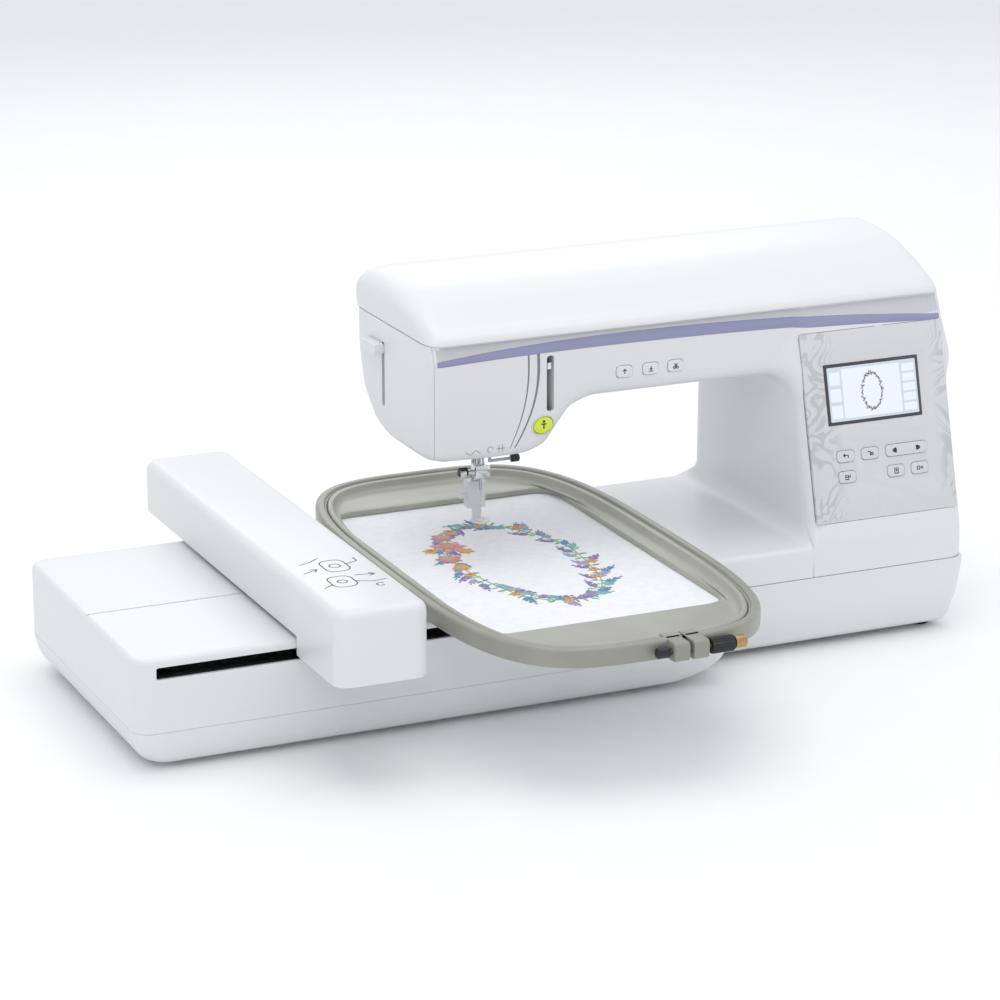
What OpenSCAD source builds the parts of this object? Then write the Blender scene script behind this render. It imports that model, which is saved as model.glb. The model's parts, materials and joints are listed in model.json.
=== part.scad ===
// Household embroidery machine with its embroidery unit, moving carriage and hoop.
// Inside the modules x = 0, y = 0 is the unit's front left corner and z = 0 is the table.
// seat() moves the whole machine so that the origin lies under the centre of its box.

/* [Embroidery unit] */
// Height of the unit's top, which is level with the bed
bed_z = 85; // [82:1:95]
// Length of the unit's left block
unit_len = 275; // [240:1:320]
// Depth of the unit
unit_depth = 254; // [225:1:300]
// Length of the strip in front of the bed
strip_len = 473; // [380:1:520]
// Corner radius of the unit in plan
unit_corner = 14; // [6:1:18]
// How far the unit's walls draw in towards the table
unit_taper = 14; // [4:1:16]
// Wall of the unit's covers
unit_wall = 2.5; // [2:0.25:4]
// Height of the rubber feet
foot_h = 5; // [4:0.5:7]
// Radius of the rubber feet
foot_r = 9; // [7:0.5:11]

/* [Carriage] */
// Width of the carriage
carriage_w = 71; // [68:1:86]
// Length of the carriage
carriage_len = 415; // [410:1:500]
// Overhang of the carriage in front of the unit
carriage_front = 80; // [78:1:90]
// Gap between the carriage and the hoop at rest
hoop_gap = 24.5; // [22:0.5:30]
// Height of the carriage's cover
carriage_h = 40.5; // [38:0.5:50]
// Gap between the unit's top and the carriage
carriage_gap = 3.5; // [3:0.5:5]
// Radius of the guide rods
rod_r = 4; // [3:0.25:5]

/* [Hoop] */
// Half width of the outer frame
hoop_half_w = 119; // [110:1:125]
// Half length of the outer frame
hoop_half_len = 224.5; // [200:0.5:240]
// Squareness of the frames' outline
hoop_power = 3.6; // [2.6:0.1:5]
// Width of the inner frame's window
window_w = 190; // [150:1:196]
// Length of the inner frame's window
window_len = 309; // [240:1:320]
// Wall of the outer frame
outer_wall = 9; // [6:0.5:10]
// Height of the frames
hoop_h = 14; // [10:1:16]
// Height of the frames' underside above the bed
hoop_lift = 4; // [3:0.5:6]
// Thickness of the fabric
fabric_t = 0.6; // [0.4:0.1:1]

/* [Machine] */
// Gap between the unit and the machine it plugs onto
join_gap = 0.5; // [0.3:0.1:1]
// Length of the casing from the free arm's left end
case_w = 417.5; // [400:0.5:520]
// Wall of the casing
case_wall = 3; // [2:0.25:4]
// Width of the pillar
pillar_w = 133; // [131:1:150]
// Depth at which the bed starts
bed_front = 38; // [37.5:0.5:42]
// Depth at which the bed ends
bed_back = 254; // [245:1:290]
// How far the bed's cover comes down to the crease
bed_skirt = 25; // [20:1:30]
// Free height between the bed and the arm
arm_space = 125; // [120:1:150]
// Height of the arm from its underside to the lid
arm_h = 52; // [50:1:60]
// Height of the lid
lid_h = 38; // [34:1:48]
// Front face of the arm and head
arm_front = 86; // [80:1:88]
// Back face of the arm and head
arm_back = 235; // [232:1:250]
// How far the head reaches to the left of the needle
head_reach = 69; // [66:1:76]
// How far the head hangs below the arm
head_drop = 44; // [42:1:50]
// Lean of the pillar's front from upright, in degrees
lean = 14.5; // [10:0.5:16]

/* [Drive] */
// Needle's distance from the free arm's left end
needle_in = 59.5; // [57:0.5:70]
// Needle position in depth
needle_y = 161; // [159:0.5:163]
// Depth of the upper shaft below the lid's edge
shaft_drop = 36; // [34:0.5:38]
// Radius of the upper shaft
shaft_r = 5; // [4:0.25:6]
// Height of the lower shaft
lower_z = 32; // [31:0.5:33]
// Radius of the lower shaft
lower_r = 4; // [3:0.25:5]
// Radius of the handwheel
wheel_r = 27; // [20:0.5:32]
// Width of the handwheel's rim
wheel_w = 19; // [14:0.5:24]
// Radius of the needle bar and of the presser bar
bar_r = 3; // [2.5:0.25:3.5]
// Radius of the rotary hook
hook_r = 26.5; // [22:0.25:27]
// Radius of the bobbin
bobbin_r = 10.3; // [9:0.1:11]
// Height of the raised foot's sole above the bed
foot_lift = 14.5; // [13:0.5:16]
// Height of the needle's point above the foot's sole
point_lift = 5; // [4.5:0.5:6]
// Radial clearance of a shaft in its bearing
run_gap = 0.05; // [0.02:0.01:0.1]

/* [Panel and buttons] */
// Width of the display's glass
lcd_w = 83; // [70:1:86]
// Height of the display's glass
lcd_h = 47; // [40:1:52]
// Width of a key
key_w = 15; // [11:0.5:16]
// Height of a key
key_h = 9; // [7:0.5:11]
// Clearance around a key or button
key_gap = 0.3; // [0.2:0.05:0.5]
// Radius of the start button
start_r = 8; // [6:0.5:9]

/* [Hidden] */
$fn = 64;
nothing = 0.01;

// The machine's lengths and heights, each from the piece before it
strip_depth = bed_front - join_gap;
arm_left = unit_len + join_gap;
case_right = arm_left + case_w;
pillar_left = case_right - pillar_w;
needle_x = arm_left + needle_in;
head_left = needle_x - head_reach;
crease_z = bed_z - bed_skirt;
arm_under = bed_z + arm_space;
head_z = arm_under - head_drop;
lid_z = arm_under + arm_h;
shaft_z = lid_z - shaft_drop;

// The whole machine's box
side_t = 4;
wheel_left = case_right + side_t + 2;
wheel_right = wheel_left + wheel_w;
carriage_back = carriage_len - carriage_front;
hoop_x = needle_x;
holder_y = 84;
window_y = 11.5;
hoop_y = holder_y - window_y;
screw_y = hoop_y - hoop_half_len - 6;
screw_r = 6;
mid_x = wheel_right / 2;
mid_y = (carriage_back + screw_y - screw_r) / 2;

// Unit, rails and slot
seam_z = 30;
slot_z = bed_z - 15;
slot_h = 9;
slot_x0 = 16;
slot_x1 = unit_len - 8;
rail_y = [24, 58];
rail_z = bed_z - 23;
chassis_z = foot_h + unit_wall;

// Carriage
carriage_x = hoop_x - hoop_half_w - hoop_gap - carriage_w;
carriage_z = bed_z + carriage_gap;
carriage_top = carriage_z + carriage_h;
skirt_z = bed_z - 11;
beam_t = 2.5;
guide_z = carriage_z + 19.5;
guide_x = carriage_x + 30;
arm_z = carriage_z + 4.5;
arm_t = 4.5;
holder_half = 28;
block_half = 30;

// Hoop
hoop_z = bed_z + hoop_lift;

// Machine
panel_z = bed_z + 15;
panel_x = pillar_left + 6;
panel_right = case_right - 3;
panel_h = lid_z - bed_z - 30;
panel_t = 3;
deck_z = lid_z - 13;
foot_sole = bed_z + foot_lift;
needle_tip = foot_sole + point_lift;
plate_lo = [needle_x - 38, needle_y - 69];
plate_hi = [needle_x + 48, needle_y + 39];
door_lo = [needle_x - 23, needle_y - 61];
door_hi = [needle_x + 23, needle_y - 11];
plate_t = 2;
band_t = 1.2;
hook_y = needle_y - hook_r - 1.5;
gear_r = (needle_y - hook_y) / 2;
presser_y = needle_y + 11;
belt_t = 1.5;
belt_gap = 0.3;
pulley_r = 12;
drive_pulley_r = 19;
motor_pulley_r = 8;
motor_r = 27;
motor_y = needle_y - 49;
motor_z = shaft_z - 76;
timing_x = case_right - 29;
drive_x = timing_x - 12;
bush_x = [needle_x + 37, pillar_left, case_right - 63];
bush_len = 12;
bush_wall = 3;
column_x = [case_right - 95, case_right - 47];
beam_y = [needle_y + 21, needle_y + 43];
beam_top = deck_z - 3;
lower_bearing_x = [needle_x + 17, case_right - 47];
hook_z = bed_z - 35;
take_up_x = needle_x + 24;
lever_axis = [presser_y + 33, head_z + 27 + case_wall];
take_up_axis = [needle_y - 34, shaft_z];
hinge_pin = [arm_back + 6.5, lid_z - 4];
pin_r = 2;
arm_button_x = [needle_x + 85, needle_x + 107, needle_x + 128];
arm_button_z = shaft_z + 2;
start_at = [needle_x + 18, arm_front, head_z + 28];
key_col = [29.5, 51, 72.5, 93.5];
key_row = [34, 50];
guide_at = [needle_x + 5, needle_y - 6];
lid_back = arm_back + 5;
hole_r = 10.5;
needle_out = 31;
clamp_h = 10;
clamp_z = needle_tip + needle_out;
switch_at = [case_right + side_t - case_wall - 2, needle_y - 1, 32];
inlet_at = [needle_y + 43, 32];
threader_y = needle_y + 14;
hinge_x = [needle_x - 17, pillar_left - 62];
spool_x = needle_x + 97;
spool_y = beam_y[0];
winder_at = [case_right - 81, needle_y - 31];
winder_r = 3;
lcd_at = [59, 98];

module seat() translate([-mid_x, -mid_y, 0]) children();
module block(lo, hi) translate(lo) cube(hi - lo);
module rod_x(x0, x1, y, z, r) translate([x0, y, z]) rotate([0, 90, 0]) cylinder(r = r, h = x1 - x0);
module rod_y(x, y0, y1, z, r) translate([x, y1, z]) rotate([90, 0, 0]) cylinder(r = r, h = y1 - y0);
module rod_z(x, y, z0, z1, r) translate([x, y, z0]) cylinder(r = r, h = z1 - z0);
// An outline in y and z, drawn out along x
module along_x(x0, x1) translate([x0, 0, 0]) rotate([90, 0, 90]) linear_extrude(x1 - x0) children();
// An outline in x and z, drawn out along y
module along_y(y0, y1) translate([0, y1, 0]) rotate([90, 0, 0]) linear_extrude(y1 - y0) children();
// A rectangle with round corners
module round_rect(lo, hi, r) {
  translate([lo[0] + r, lo[1]]) square([hi[0] - lo[0] - 2 * r, hi[1] - lo[1]]);
  translate([lo[0], lo[1] + r]) square([hi[0] - lo[0], hi[1] - lo[1] - 2 * r]);
  for (x = [lo[0] + r, hi[0] - r], y = [lo[1] + r, hi[1] - r]) translate([x, y]) circle(r);
}
// Points of a squared ellipse
function squared(a, b, power, steps = 96) = [
  for (i = [0 : steps - 1])
    let (t = 360 * i / steps, c = cos(t), s = sin(t))
      [a * sign(c) * pow(abs(c), 2 / power), b * sign(s) * pow(abs(s), 2 / power)]
];

// ---- Machine casing ----

// Front outline of the head and arm, drawn in by i
function arm_outline(i) = [
  [head_left - i, lid_z + i], [head_left - i, head_z + 12],
  [head_left + 10, head_z + 2 + i], [needle_x + 3, head_z + i],
  [needle_x + 15 - 0.8 * i, head_z + 6 + 0.8 * i],
  [needle_x + 45 - 0.6 * i, arm_under - 6 + 0.8 * i], [needle_x + 57, arm_under + i],
  [pillar_left + 2 * i, arm_under + i], [pillar_left + 2 * i, lid_z + i]
];
// Side outline of the head and arm, drawn in by i
function head_profile(i) = [
  [arm_front + i, lid_z + i], [arm_front + i, head_z + 12], [arm_front + 8 + i / 2, head_z + 2 + i / 2],
  [arm_front + 16, head_z + i], [needle_y + 4, head_z + i], [needle_y + 29, head_z + 5 + i],
  [arm_back - 28 - 0.5 * i, head_z + 17 + 0.5 * i], [arm_back - 10 - 0.8 * i, head_z + 34 + 0.3 * i],
  [arm_back - 2 - i, head_z + 54], [arm_back - i, head_z + 74], [arm_back - i, lid_z + i]
];
// Front of the leaning pillar at height z
function pillar_front(z) = bed_front + 1 + (z - bed_z) * tan(lean);
// Side outline of the pillar, drawn in by i
function pillar_profile(i) = [
  [bed_front + i, crease_z - i], [bed_front + 1 + i, bed_z], [pillar_front(lid_z + i) + i, lid_z + i],
  [arm_back - i, lid_z + i], [arm_back + 7 - i, lid_z - 25], [arm_back + 11 - i, lid_z - 60],
  [bed_back - 6 - i, crease_z - i]
];
module casing_solid(i) {
  intersection() {
    along_y(0, 400) polygon(arm_outline(i));
    along_x(0, pillar_left + 3 * case_wall) polygon(head_profile(i));
  }
  along_x(pillar_left + i, case_right + i) polygon(pillar_profile(i));
}
module casing() difference() {
  casing_solid(0);
  casing_solid(case_wall);
}
module panel_place(u = 0, w = 0, v = 0) translate([panel_x, pillar_front(panel_z), panel_z])
  rotate([-lean, 0, 0]) translate([u, w, v]) children();
module key_hole(u, v, w, h) panel_place()
  along_y(-2, panel_t + 4) round_rect([u - w / 2 - key_gap, v - h / 2 - key_gap],
    [u + w / 2 + key_gap, v + h / 2 + key_gap], h / 3);
module button_shape(x, z, w, h, y0, y1) along_y(y0, y1)
  round_rect([x - w / 2, z - h / 2], [x + w / 2, z + h / 2], h / 3);

module front_cover() color("whitesmoke") seat() difference() {
  intersection() {
    casing();
    block([0, 0, 0], [case_right, needle_y - nothing, lid_z]);
  }
  panel_place() block([-0.2, -5, -0.2], [panel_right - panel_x + 0.2, 8, panel_h + 0.2]);
  for (x = arm_button_x)
    button_shape(x, arm_button_z, 13 + 2 * key_gap, key_h + 2 * key_gap, arm_front - 1, arm_front + 8);
  rod_y(start_at[0], arm_front - 1, arm_front + 8, start_at[2], start_r + key_gap);
  // slot of the take-up lever
  block([take_up_x - 3, arm_front - 1, shaft_z - 26], [take_up_x + 3, arm_front + 8, shaft_z + 21]);
  // hole under the needle bar and presser bar
  rod_z(needle_x, needle_y, head_z - 2, head_z + 6, hole_r);
}
module rear_cover() color("whitesmoke") seat() {
  difference() {
    intersection() {
      casing();
      block([0, needle_y + nothing, 0], [case_right, 400, lid_z]);
    }
    rod_z(needle_x, needle_y, head_z - 2, head_z + 12, hole_r);
    rod_z(needle_x, presser_y, head_z - 2, head_z + 12, bar_r + 2);
    // slot of the presser lever
    block([needle_x + 5, presser_y + 28, head_z], [needle_x + 21, arm_back + 5, head_z + 40]);
  }
  for (x0 = hinge_x, x = [x0, x0 + 36]) difference() {
    block([x, arm_back - nothing, hinge_pin[1] - 5], [x + 8, hinge_pin[0] + 5, hinge_pin[1] + 3.5]);
    rod_x(x - 1, x + 9, hinge_pin[0], hinge_pin[1], pin_r);
  }
  for (x = hinge_x) rod_x(x, x + 44, hinge_pin[0], hinge_pin[1], pin_r);
}
module face_plate() color("whitesmoke") seat() difference() {
  along_x(head_left - 4, head_left) polygon(head_profile(0));
  block([head_left - 5, 0, lid_z], [head_left + 1, 400, lid_z + 50]);
  block([head_left - 5, threader_y, lid_z - 66], [head_left + 1, threader_y + 5, lid_z - 16]);
}
module side_cover() color("whitesmoke") seat() difference() {
  along_x(case_right, case_right + side_t) polygon(pillar_profile(0));
  rod_x(case_right - 1, case_right + side_t + 1, needle_y, shaft_z, shaft_r + 3);
}
module top_deck() color("gainsboro") seat() difference() {
  union() {
    block([head_left, arm_front + case_wall + 0.2, deck_z],
          [pillar_left, arm_back - case_wall - 0.2, deck_z + 2]);
    block([pillar_left, arm_front + case_wall + 0.2, deck_z],
          [case_right, arm_back - case_wall - 0.2, deck_z + 2]);
  }
  // slot in which the bobbin winder shifts
  block([winder_at[0] - winder_r - 0.2, winder_at[1] - winder_r - 0.1, deck_z - 1],
        [winder_at[0] + winder_r + 4.2, winder_at[1] + winder_r + 0.1, deck_z + 3]);
}
module trim_band() color([0.58, 0.59, 0.74]) seat() {
  block([head_left + 2, arm_front - band_t, lid_z - 14], [pillar_left - 0.3, arm_front, lid_z - 9]);
  panel_place() block([pillar_left - panel_x + 2, -band_t, panel_h + 6],
                      [case_right - panel_x - 2, 0, panel_h + 11]);
}

module base_pan() color("whitesmoke") seat() difference() {
  along_x(arm_left, case_right + side_t)
    polygon([[bed_front + 7, foot_h], [bed_back - 10, foot_h], [bed_back, foot_h + 12],
             [bed_back, crease_z], [bed_front, crease_z]]);
  along_x(arm_left + case_wall, case_right + side_t - case_wall)
    polygon([[bed_front + 10.3, foot_h + case_wall], [bed_back - 12, foot_h + case_wall],
             [bed_back - case_wall, foot_h + 14], [bed_back - case_wall, crease_z + 1],
             [bed_front + case_wall, crease_z + 1]]);
  for (p = screw_spots) rod_z(p[0], p[1], foot_h - 1, foot_h + case_wall + 1, 2.2);
  // holes of the inlet and the switch
  block([case_right - 5, inlet_at[0] - 14, inlet_at[1] - 12],
        [case_right + side_t + 1, inlet_at[0] + 14, inlet_at[1] + 12]);
  block([case_right - 5, switch_at[1] - 13, switch_at[2] - 10],
        [case_right + side_t + 1, switch_at[1] + 13, switch_at[2] + 10]);
}
screw_spots = [
  for (x = [needle_x - 5, pillar_left - 70, case_right - 53], y = [bed_front + 52, bed_back - 29]) [x, y]
];
module casing_screws() color("dimgray") seat() for (p = screw_spots) {
  rod_z(p[0], p[1], foot_h - 1.8, foot_h, 4);
  rod_z(p[0], p[1], foot_h - nothing, foot_h + case_wall + 6, 1.6);
}
feet = [[arm_left + 24.5, bed_front + 24], [arm_left + 24.5, bed_back - 22],
        [case_right - 21, bed_front + 28], [case_right - 21, bed_back - 24],
        [30, unit_depth - 38], [36, 30], [unit_len - 22, unit_depth - 38], [unit_len - 22, 30]];
module rubber_feet() color([0.15, 0.15, 0.15]) seat()
  for (p = feet) translate([p[0], p[1], 0]) cylinder(r1 = foot_r - 1.5, r2 = foot_r, h = foot_h);

module bed_cover() color("whitesmoke") seat() difference() {
  block([arm_left, bed_front, crease_z], [pillar_left, bed_back, bed_z]);
  block([arm_left + case_wall, bed_front + case_wall, crease_z - 1],
        [pillar_left + 1, bed_back - case_wall, bed_z - case_wall]);
  block([plate_lo[0], plate_lo[1], bed_z - plate_t], [plate_hi[0], plate_hi[1], bed_z + 1]);
  block([plate_lo[0] + 4, plate_lo[1] + 4, bed_z - 5], [plate_hi[0] - 4, plate_hi[1] - 4, bed_z + 1]);
}
module needle_plate() color("silver") seat() difference() {
  block([plate_lo[0] + 0.2, plate_lo[1] + 0.2, bed_z - plate_t],
        [plate_hi[0] - 0.2, plate_hi[1] - 0.2, bed_z]);
  block([door_lo[0], door_lo[1], bed_z - 1.2], [door_hi[0], door_hi[1], bed_z + 1]);
  block([door_lo[0] + 3, door_lo[1] + 3, bed_z - 3], [door_hi[0] - 3, door_hi[1] - 3, bed_z]);
  rod_z(needle_x, needle_y, bed_z - 3, bed_z + 1, 1.2);
  for (x = [plate_lo[0] + 9, plate_hi[0] - 9])
    rod_z(x, plate_hi[1] - 9, bed_z - 3, bed_z + 1, 1.7);
}
module bobbin_cover() color([0.85, 0.9, 0.92, 0.5]) seat() difference() {
  block([door_lo[0] + 0.2, door_lo[1] + 0.2, bed_z - 1.2], [door_hi[0] - 0.2, door_hi[1] - 0.2, bed_z]);
  translate([door_hi[0] - 9, door_lo[1] + 9, bed_z - 0.6]) cylinder(r = 5, h = 2);
}

// ---- Panel, buttons ----

module control_panel() color("gainsboro") seat() difference() {
  panel_place() union() {
    block([0, 0, 0], [panel_right - panel_x, panel_t, panel_h]);
    for (u = [5, panel_right - panel_x - 5], v = [5, panel_h - 20])
      rod_y(u, panel_t - nothing, 11, v, 3);
  }
  panel_place() block([lcd_at[0] - lcd_w / 2 - 0.1, -1, lcd_at[1] - lcd_h / 2 - 0.1],
                      [lcd_at[0] + lcd_w / 2 + 0.1, 1.5, lcd_at[1] + lcd_h / 2 + 0.1]);
  panel_place() block([lcd_at[0] - lcd_w / 2 + 2, -1, lcd_at[1] - lcd_h / 2 + 2],
                      [lcd_at[0] + lcd_w / 2 - 2, 5, lcd_at[1] + lcd_h / 2 - 2]);
  for (k = key_spots) key_hole(k[0], k[1], key_w, key_h);
  key_hole((key_col[2] + key_col[3]) / 2, key_row[1], arrow_w, key_h);
}
arrow_w = key_col[3] - key_col[2] + key_w;
key_spots = [[key_col[0], key_row[1]], [key_col[1], key_row[1]],
             [key_col[0], key_row[0]], [key_col[2], key_row[0]], [key_col[3], key_row[0]]];
key_depth = 8;
module display_glass() color([0.75, 0.82, 0.86]) seat()
  panel_place() block([lcd_at[0] - lcd_w / 2, 0, lcd_at[1] - lcd_h / 2],
                      [lcd_at[0] + lcd_w / 2, 1.5, lcd_at[1] + lcd_h / 2]);
module circuit_board() color("seagreen") seat() {
  panel_place() block([2, 11, 2], [panel_right - panel_x - 2, 12.6, panel_h - 14]);
  // display module on the board, behind the glass
  panel_place() block([lcd_at[0] - lcd_w / 2 + 4, 4, lcd_at[1] - lcd_h / 2 + 4],
                      [lcd_at[0] + lcd_w / 2 - 4, 11 + nothing, lcd_at[1] + lcd_h / 2 - 4]);
}
module panel_key(k) color("gainsboro") seat() panel_place()
  along_y(-0.8, key_depth) round_rect([key_spots[k][0] - key_w / 2, key_spots[k][1] - key_h / 2],
    [key_spots[k][0] + key_w / 2, key_spots[k][1] + key_h / 2], key_h / 3);
module arrow_key() color("gainsboro") seat() panel_place() {
  arrow_u = (key_col[2] + key_col[3]) / 2;
  along_y(-0.8, key_depth - 3) round_rect([arrow_u - arrow_w / 2, key_row[1] - key_h / 2],
    [arrow_u + arrow_w / 2, key_row[1] + key_h / 2], key_h / 3);
  rod_y(arrow_u, key_depth - 4, 10.7, key_row[1], 1.5);
  // pivot on which the key rocks
  rod_z(arrow_u, key_depth - 3, key_row[1] - key_h / 2 - 2, key_row[1] + key_h / 2 + 2, 1.5);
}
module arm_button(k) color("whitesmoke") seat()
  button_shape(arm_button_x[k], arm_button_z, 13, key_h, arm_front - 1.2, arm_front + 6);
module start_button() color([0.84, 0.93, 0.2]) seat()
  rod_y(start_at[0], arm_front - 1.8, arm_front + 6, start_at[2], start_r);

// ---- Frame and drive ----

module lug(x, y0) block([x, y0, shaft_z - 12], [x + bush_len, beam_y[0] + 1, shaft_z + 12]);
module main_frame() color("silver") seat() difference() {
  union() {
    block([arm_left + 24.5, needle_y - 56, foot_h + case_wall],
          [case_right - 17, needle_y + 54, foot_h + case_wall + 6]);
    block([column_x[0], beam_y[0], foot_h + 5], [column_x[1], beam_y[1], beam_top]);
    block([head_left + 24, beam_y[0], arm_under + 4], [column_x[1], beam_y[1], beam_top]);
    block([needle_x - 39, beam_y[0], head_z + 9], [needle_x + 9, beam_y[0] + 6, arm_under + 6]);
    lug(bush_x[0], take_up_axis[0] - 6);
    lug(bush_x[1], needle_y - 12);
    lug(bush_x[2], needle_y - 12);
    // guides of the needle bar and the presser bar
    block([needle_x - 13, needle_y - 8, head_z + 8], [needle_x + 10, beam_y[0] + 1, head_z + 16]);
    block([needle_x - 13, needle_y - 8, shaft_z + 14.5], [needle_x + 6, beam_y[0] + 1, shaft_z + 20]);
    // motor plate
    block([column_x[1] - 4, motor_y - 30, motor_z - 32],
          [column_x[1], beam_y[1], motor_z + 32]);
    // bearings of the lower shaft and the hook
    for (x = lower_bearing_x)
      block([x, needle_y - 10, foot_h + 5], [x + 10, needle_y + 10, lower_z + 12]);
    rod_z(needle_x, hook_y, foot_h + 5, lower_z - 6, 8);
    // thread guide under the head
    rod_z(guide_at[0], guide_at[1], head_z - 17, head_z + 9, 1.2);
    rod_x(guide_at[0] - 1, guide_at[0] + 22, guide_at[1], head_z - 17, 1.2);
    rod_x(guide_at[0] + 18, guide_at[0] + 24, guide_at[1], head_z - 17, 2.8);
    // pin of the take-up lever
    rod_x(take_up_x - 5, bush_x[0] + 1, take_up_axis[0], take_up_axis[1], 2.5);
    // ear and pin of the presser lever
    block([needle_x + 21, lever_axis[0] - 7, lever_axis[1] - 6],
          [needle_x + 27, lever_axis[0] + 4, arm_under + 5]);
    rod_x(needle_x + 7, needle_x + 22, lever_axis[0], lever_axis[1], 2.5);
  }
  for (x = bush_x) rod_x(x - 1, x + bush_len + 1, needle_y, shaft_z, shaft_r + bush_wall);
  for (x = lower_bearing_x) rod_x(x - 1, x + 11, needle_y, lower_z, lower_r + run_gap);
  rod_z(needle_x, hook_y, foot_h + case_wall + 3, lower_z, 4 + run_gap);
  rod_z(needle_x, needle_y, head_z, shaft_z + 25, bar_r + run_gap);
  rod_z(needle_x, presser_y, head_z, shaft_z + 25, bar_r + run_gap);
  rod_x(column_x[1] - 5, column_x[1] + 1, motor_y, motor_z, 8);
}
module shaft_bushes() color("darkgoldenrod") seat() for (x = bush_x) difference() {
  rod_x(x, x + bush_len, needle_y, shaft_z, shaft_r + bush_wall);
  rod_x(x - 1, x + bush_len + 1, needle_y, shaft_z, shaft_r + run_gap);
}
module upper_shaft() color("lightgray") seat() {
  rod_x(needle_x + 10, wheel_right - 6, needle_y, shaft_z, shaft_r);
  rod_x(needle_x + 10, needle_x + 16, needle_y, shaft_z, 18);
  rod_x(timing_x, timing_x + 8, needle_y, shaft_z, pulley_r);
  rod_x(drive_x, drive_x + 8, needle_y, shaft_z, drive_pulley_r);
  rod_x(needle_x + 7.5, needle_x + 10 + nothing, needle_y, shaft_z + 14, 2);
}
module handwheel() color("whitesmoke") seat() difference() {
  rod_x(wheel_left, wheel_right, needle_y, shaft_z, wheel_r);
  rod_x(wheel_right - 4, wheel_right + 1, needle_y, shaft_z, wheel_r - 5);
  rod_x(wheel_left - 1, wheel_right + 1, needle_y, shaft_z, shaft_r);
  for (a = [0 : 20 : 340])
    translate([wheel_left - 1, needle_y + (wheel_r + 1.4) * cos(a), shaft_z + (wheel_r + 1.4) * sin(a)])
      rotate([0, 90, 0]) cylinder(r = 2.4, h = wheel_w + 2, $fn = 24);
}
module lower_shaft() color("lightgray") seat() {
  rod_x(needle_x - 13, timing_x + 10, needle_y, lower_z, lower_r);
  rod_x(needle_x - 7, needle_x + 7, needle_y, lower_z, gear_r);
  rod_x(timing_x, timing_x + 8, needle_y, lower_z, pulley_r);
}
module rotary_hook() color("silver") seat() {
  difference() {
    rod_z(needle_x, hook_y, hook_z, bed_z - 9, hook_r);
    rod_z(needle_x, hook_y, hook_z + 3, bed_z, hook_r - 2);
  }
  rod_z(needle_x, hook_y, foot_h + case_wall + 4, hook_z + 1, 4);
  rod_z(needle_x, hook_y, lower_z - 4, lower_z + 4, gear_r - 0.2);
}
module bobbin_case() color([0.12, 0.12, 0.13]) seat() difference() {
  rod_z(needle_x, hook_y, hook_z + 3.4, bed_z - 7, hook_r - 2.5);
  rod_z(needle_x, hook_y, hook_z + 10, bed_z, bobbin_r + 1);
}
module bobbin() color([0.8, 0.85, 0.9, 0.6]) seat() difference() {
  rod_z(needle_x, hook_y, hook_z + 10.3, hook_z + 21.8, bobbin_r);
  rod_z(needle_x, hook_y, hook_z + 10, hook_z + 22, 3);
  difference() {
    rod_z(needle_x, hook_y, hook_z + 11.5, hook_z + 20.6, bobbin_r + 1);
    rod_z(needle_x, hook_y, hook_z + 11.4, hook_z + 20.7, 4.5);
  }
}
module main_motor() color([0.3, 0.3, 0.32]) seat() {
  rod_x(column_x[1] - 64, column_x[1] - 4, motor_y, motor_z, motor_r);
  rod_x(column_x[1] - 5, drive_x + 9, motor_y, motor_z, 3);
  rod_x(drive_x, drive_x + 8, motor_y, motor_z, motor_pulley_r);
}
// Two round ends joined by straight runs, in y and z
module belt_outline(a, ra, b, rb, grow) hull() {
  translate(a) circle(ra + grow, $fn = 32);
  translate(b) circle(rb + grow, $fn = 32);
}
module belt(x, a, ra, b, rb) along_x(x + 0.5, x + 7.5) difference() {
  belt_outline(a, ra, b, rb, belt_gap + belt_t);
  belt_outline(a, ra, b, rb, belt_gap);
}
module drive_belts() color([0.1, 0.1, 0.1]) seat() {
  belt(timing_x, [needle_y, shaft_z], pulley_r, [needle_y, lower_z], pulley_r);
  belt(drive_x, [needle_y, shaft_z], drive_pulley_r, [motor_y, motor_z], motor_pulley_r);
}

// ---- Needle, foot and levers ----

module needle_bar() color("silver") seat() rod_z(needle_x, needle_y, clamp_z + 6, shaft_z + 22, bar_r);
module needle_clamp() color("silver") seat() difference() {
  union() {
    block([needle_x - 6, needle_y - 5, clamp_z], [needle_x + 6, needle_y + 5, clamp_z + clamp_h]);
    rod_x(needle_x - 14, needle_x - 5, needle_y, clamp_z + 4, 2);
    rod_x(needle_x - 18, needle_x - 13, needle_y, clamp_z + 4, 4);
  }
  rod_z(needle_x, needle_y, clamp_z + 6, clamp_z + 20, bar_r);
  rod_z(needle_x, needle_y, clamp_z - 1, clamp_z + 20, 1);
}
module needle() color("silver") seat() {
  rod_z(needle_x, needle_y, needle_tip + 20, clamp_z + 6, 1);
  rod_z(needle_x, needle_y, needle_tip + 3, needle_tip + 20 + nothing, 0.5);
  translate([needle_x, needle_y, needle_tip]) cylinder(r1 = 0.1, r2 = 0.5, h = 3 + nothing);
}
module presser_bar() color("silver") seat() rod_z(needle_x, presser_y, foot_sole + 16, shaft_z + 12, bar_r);
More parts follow.
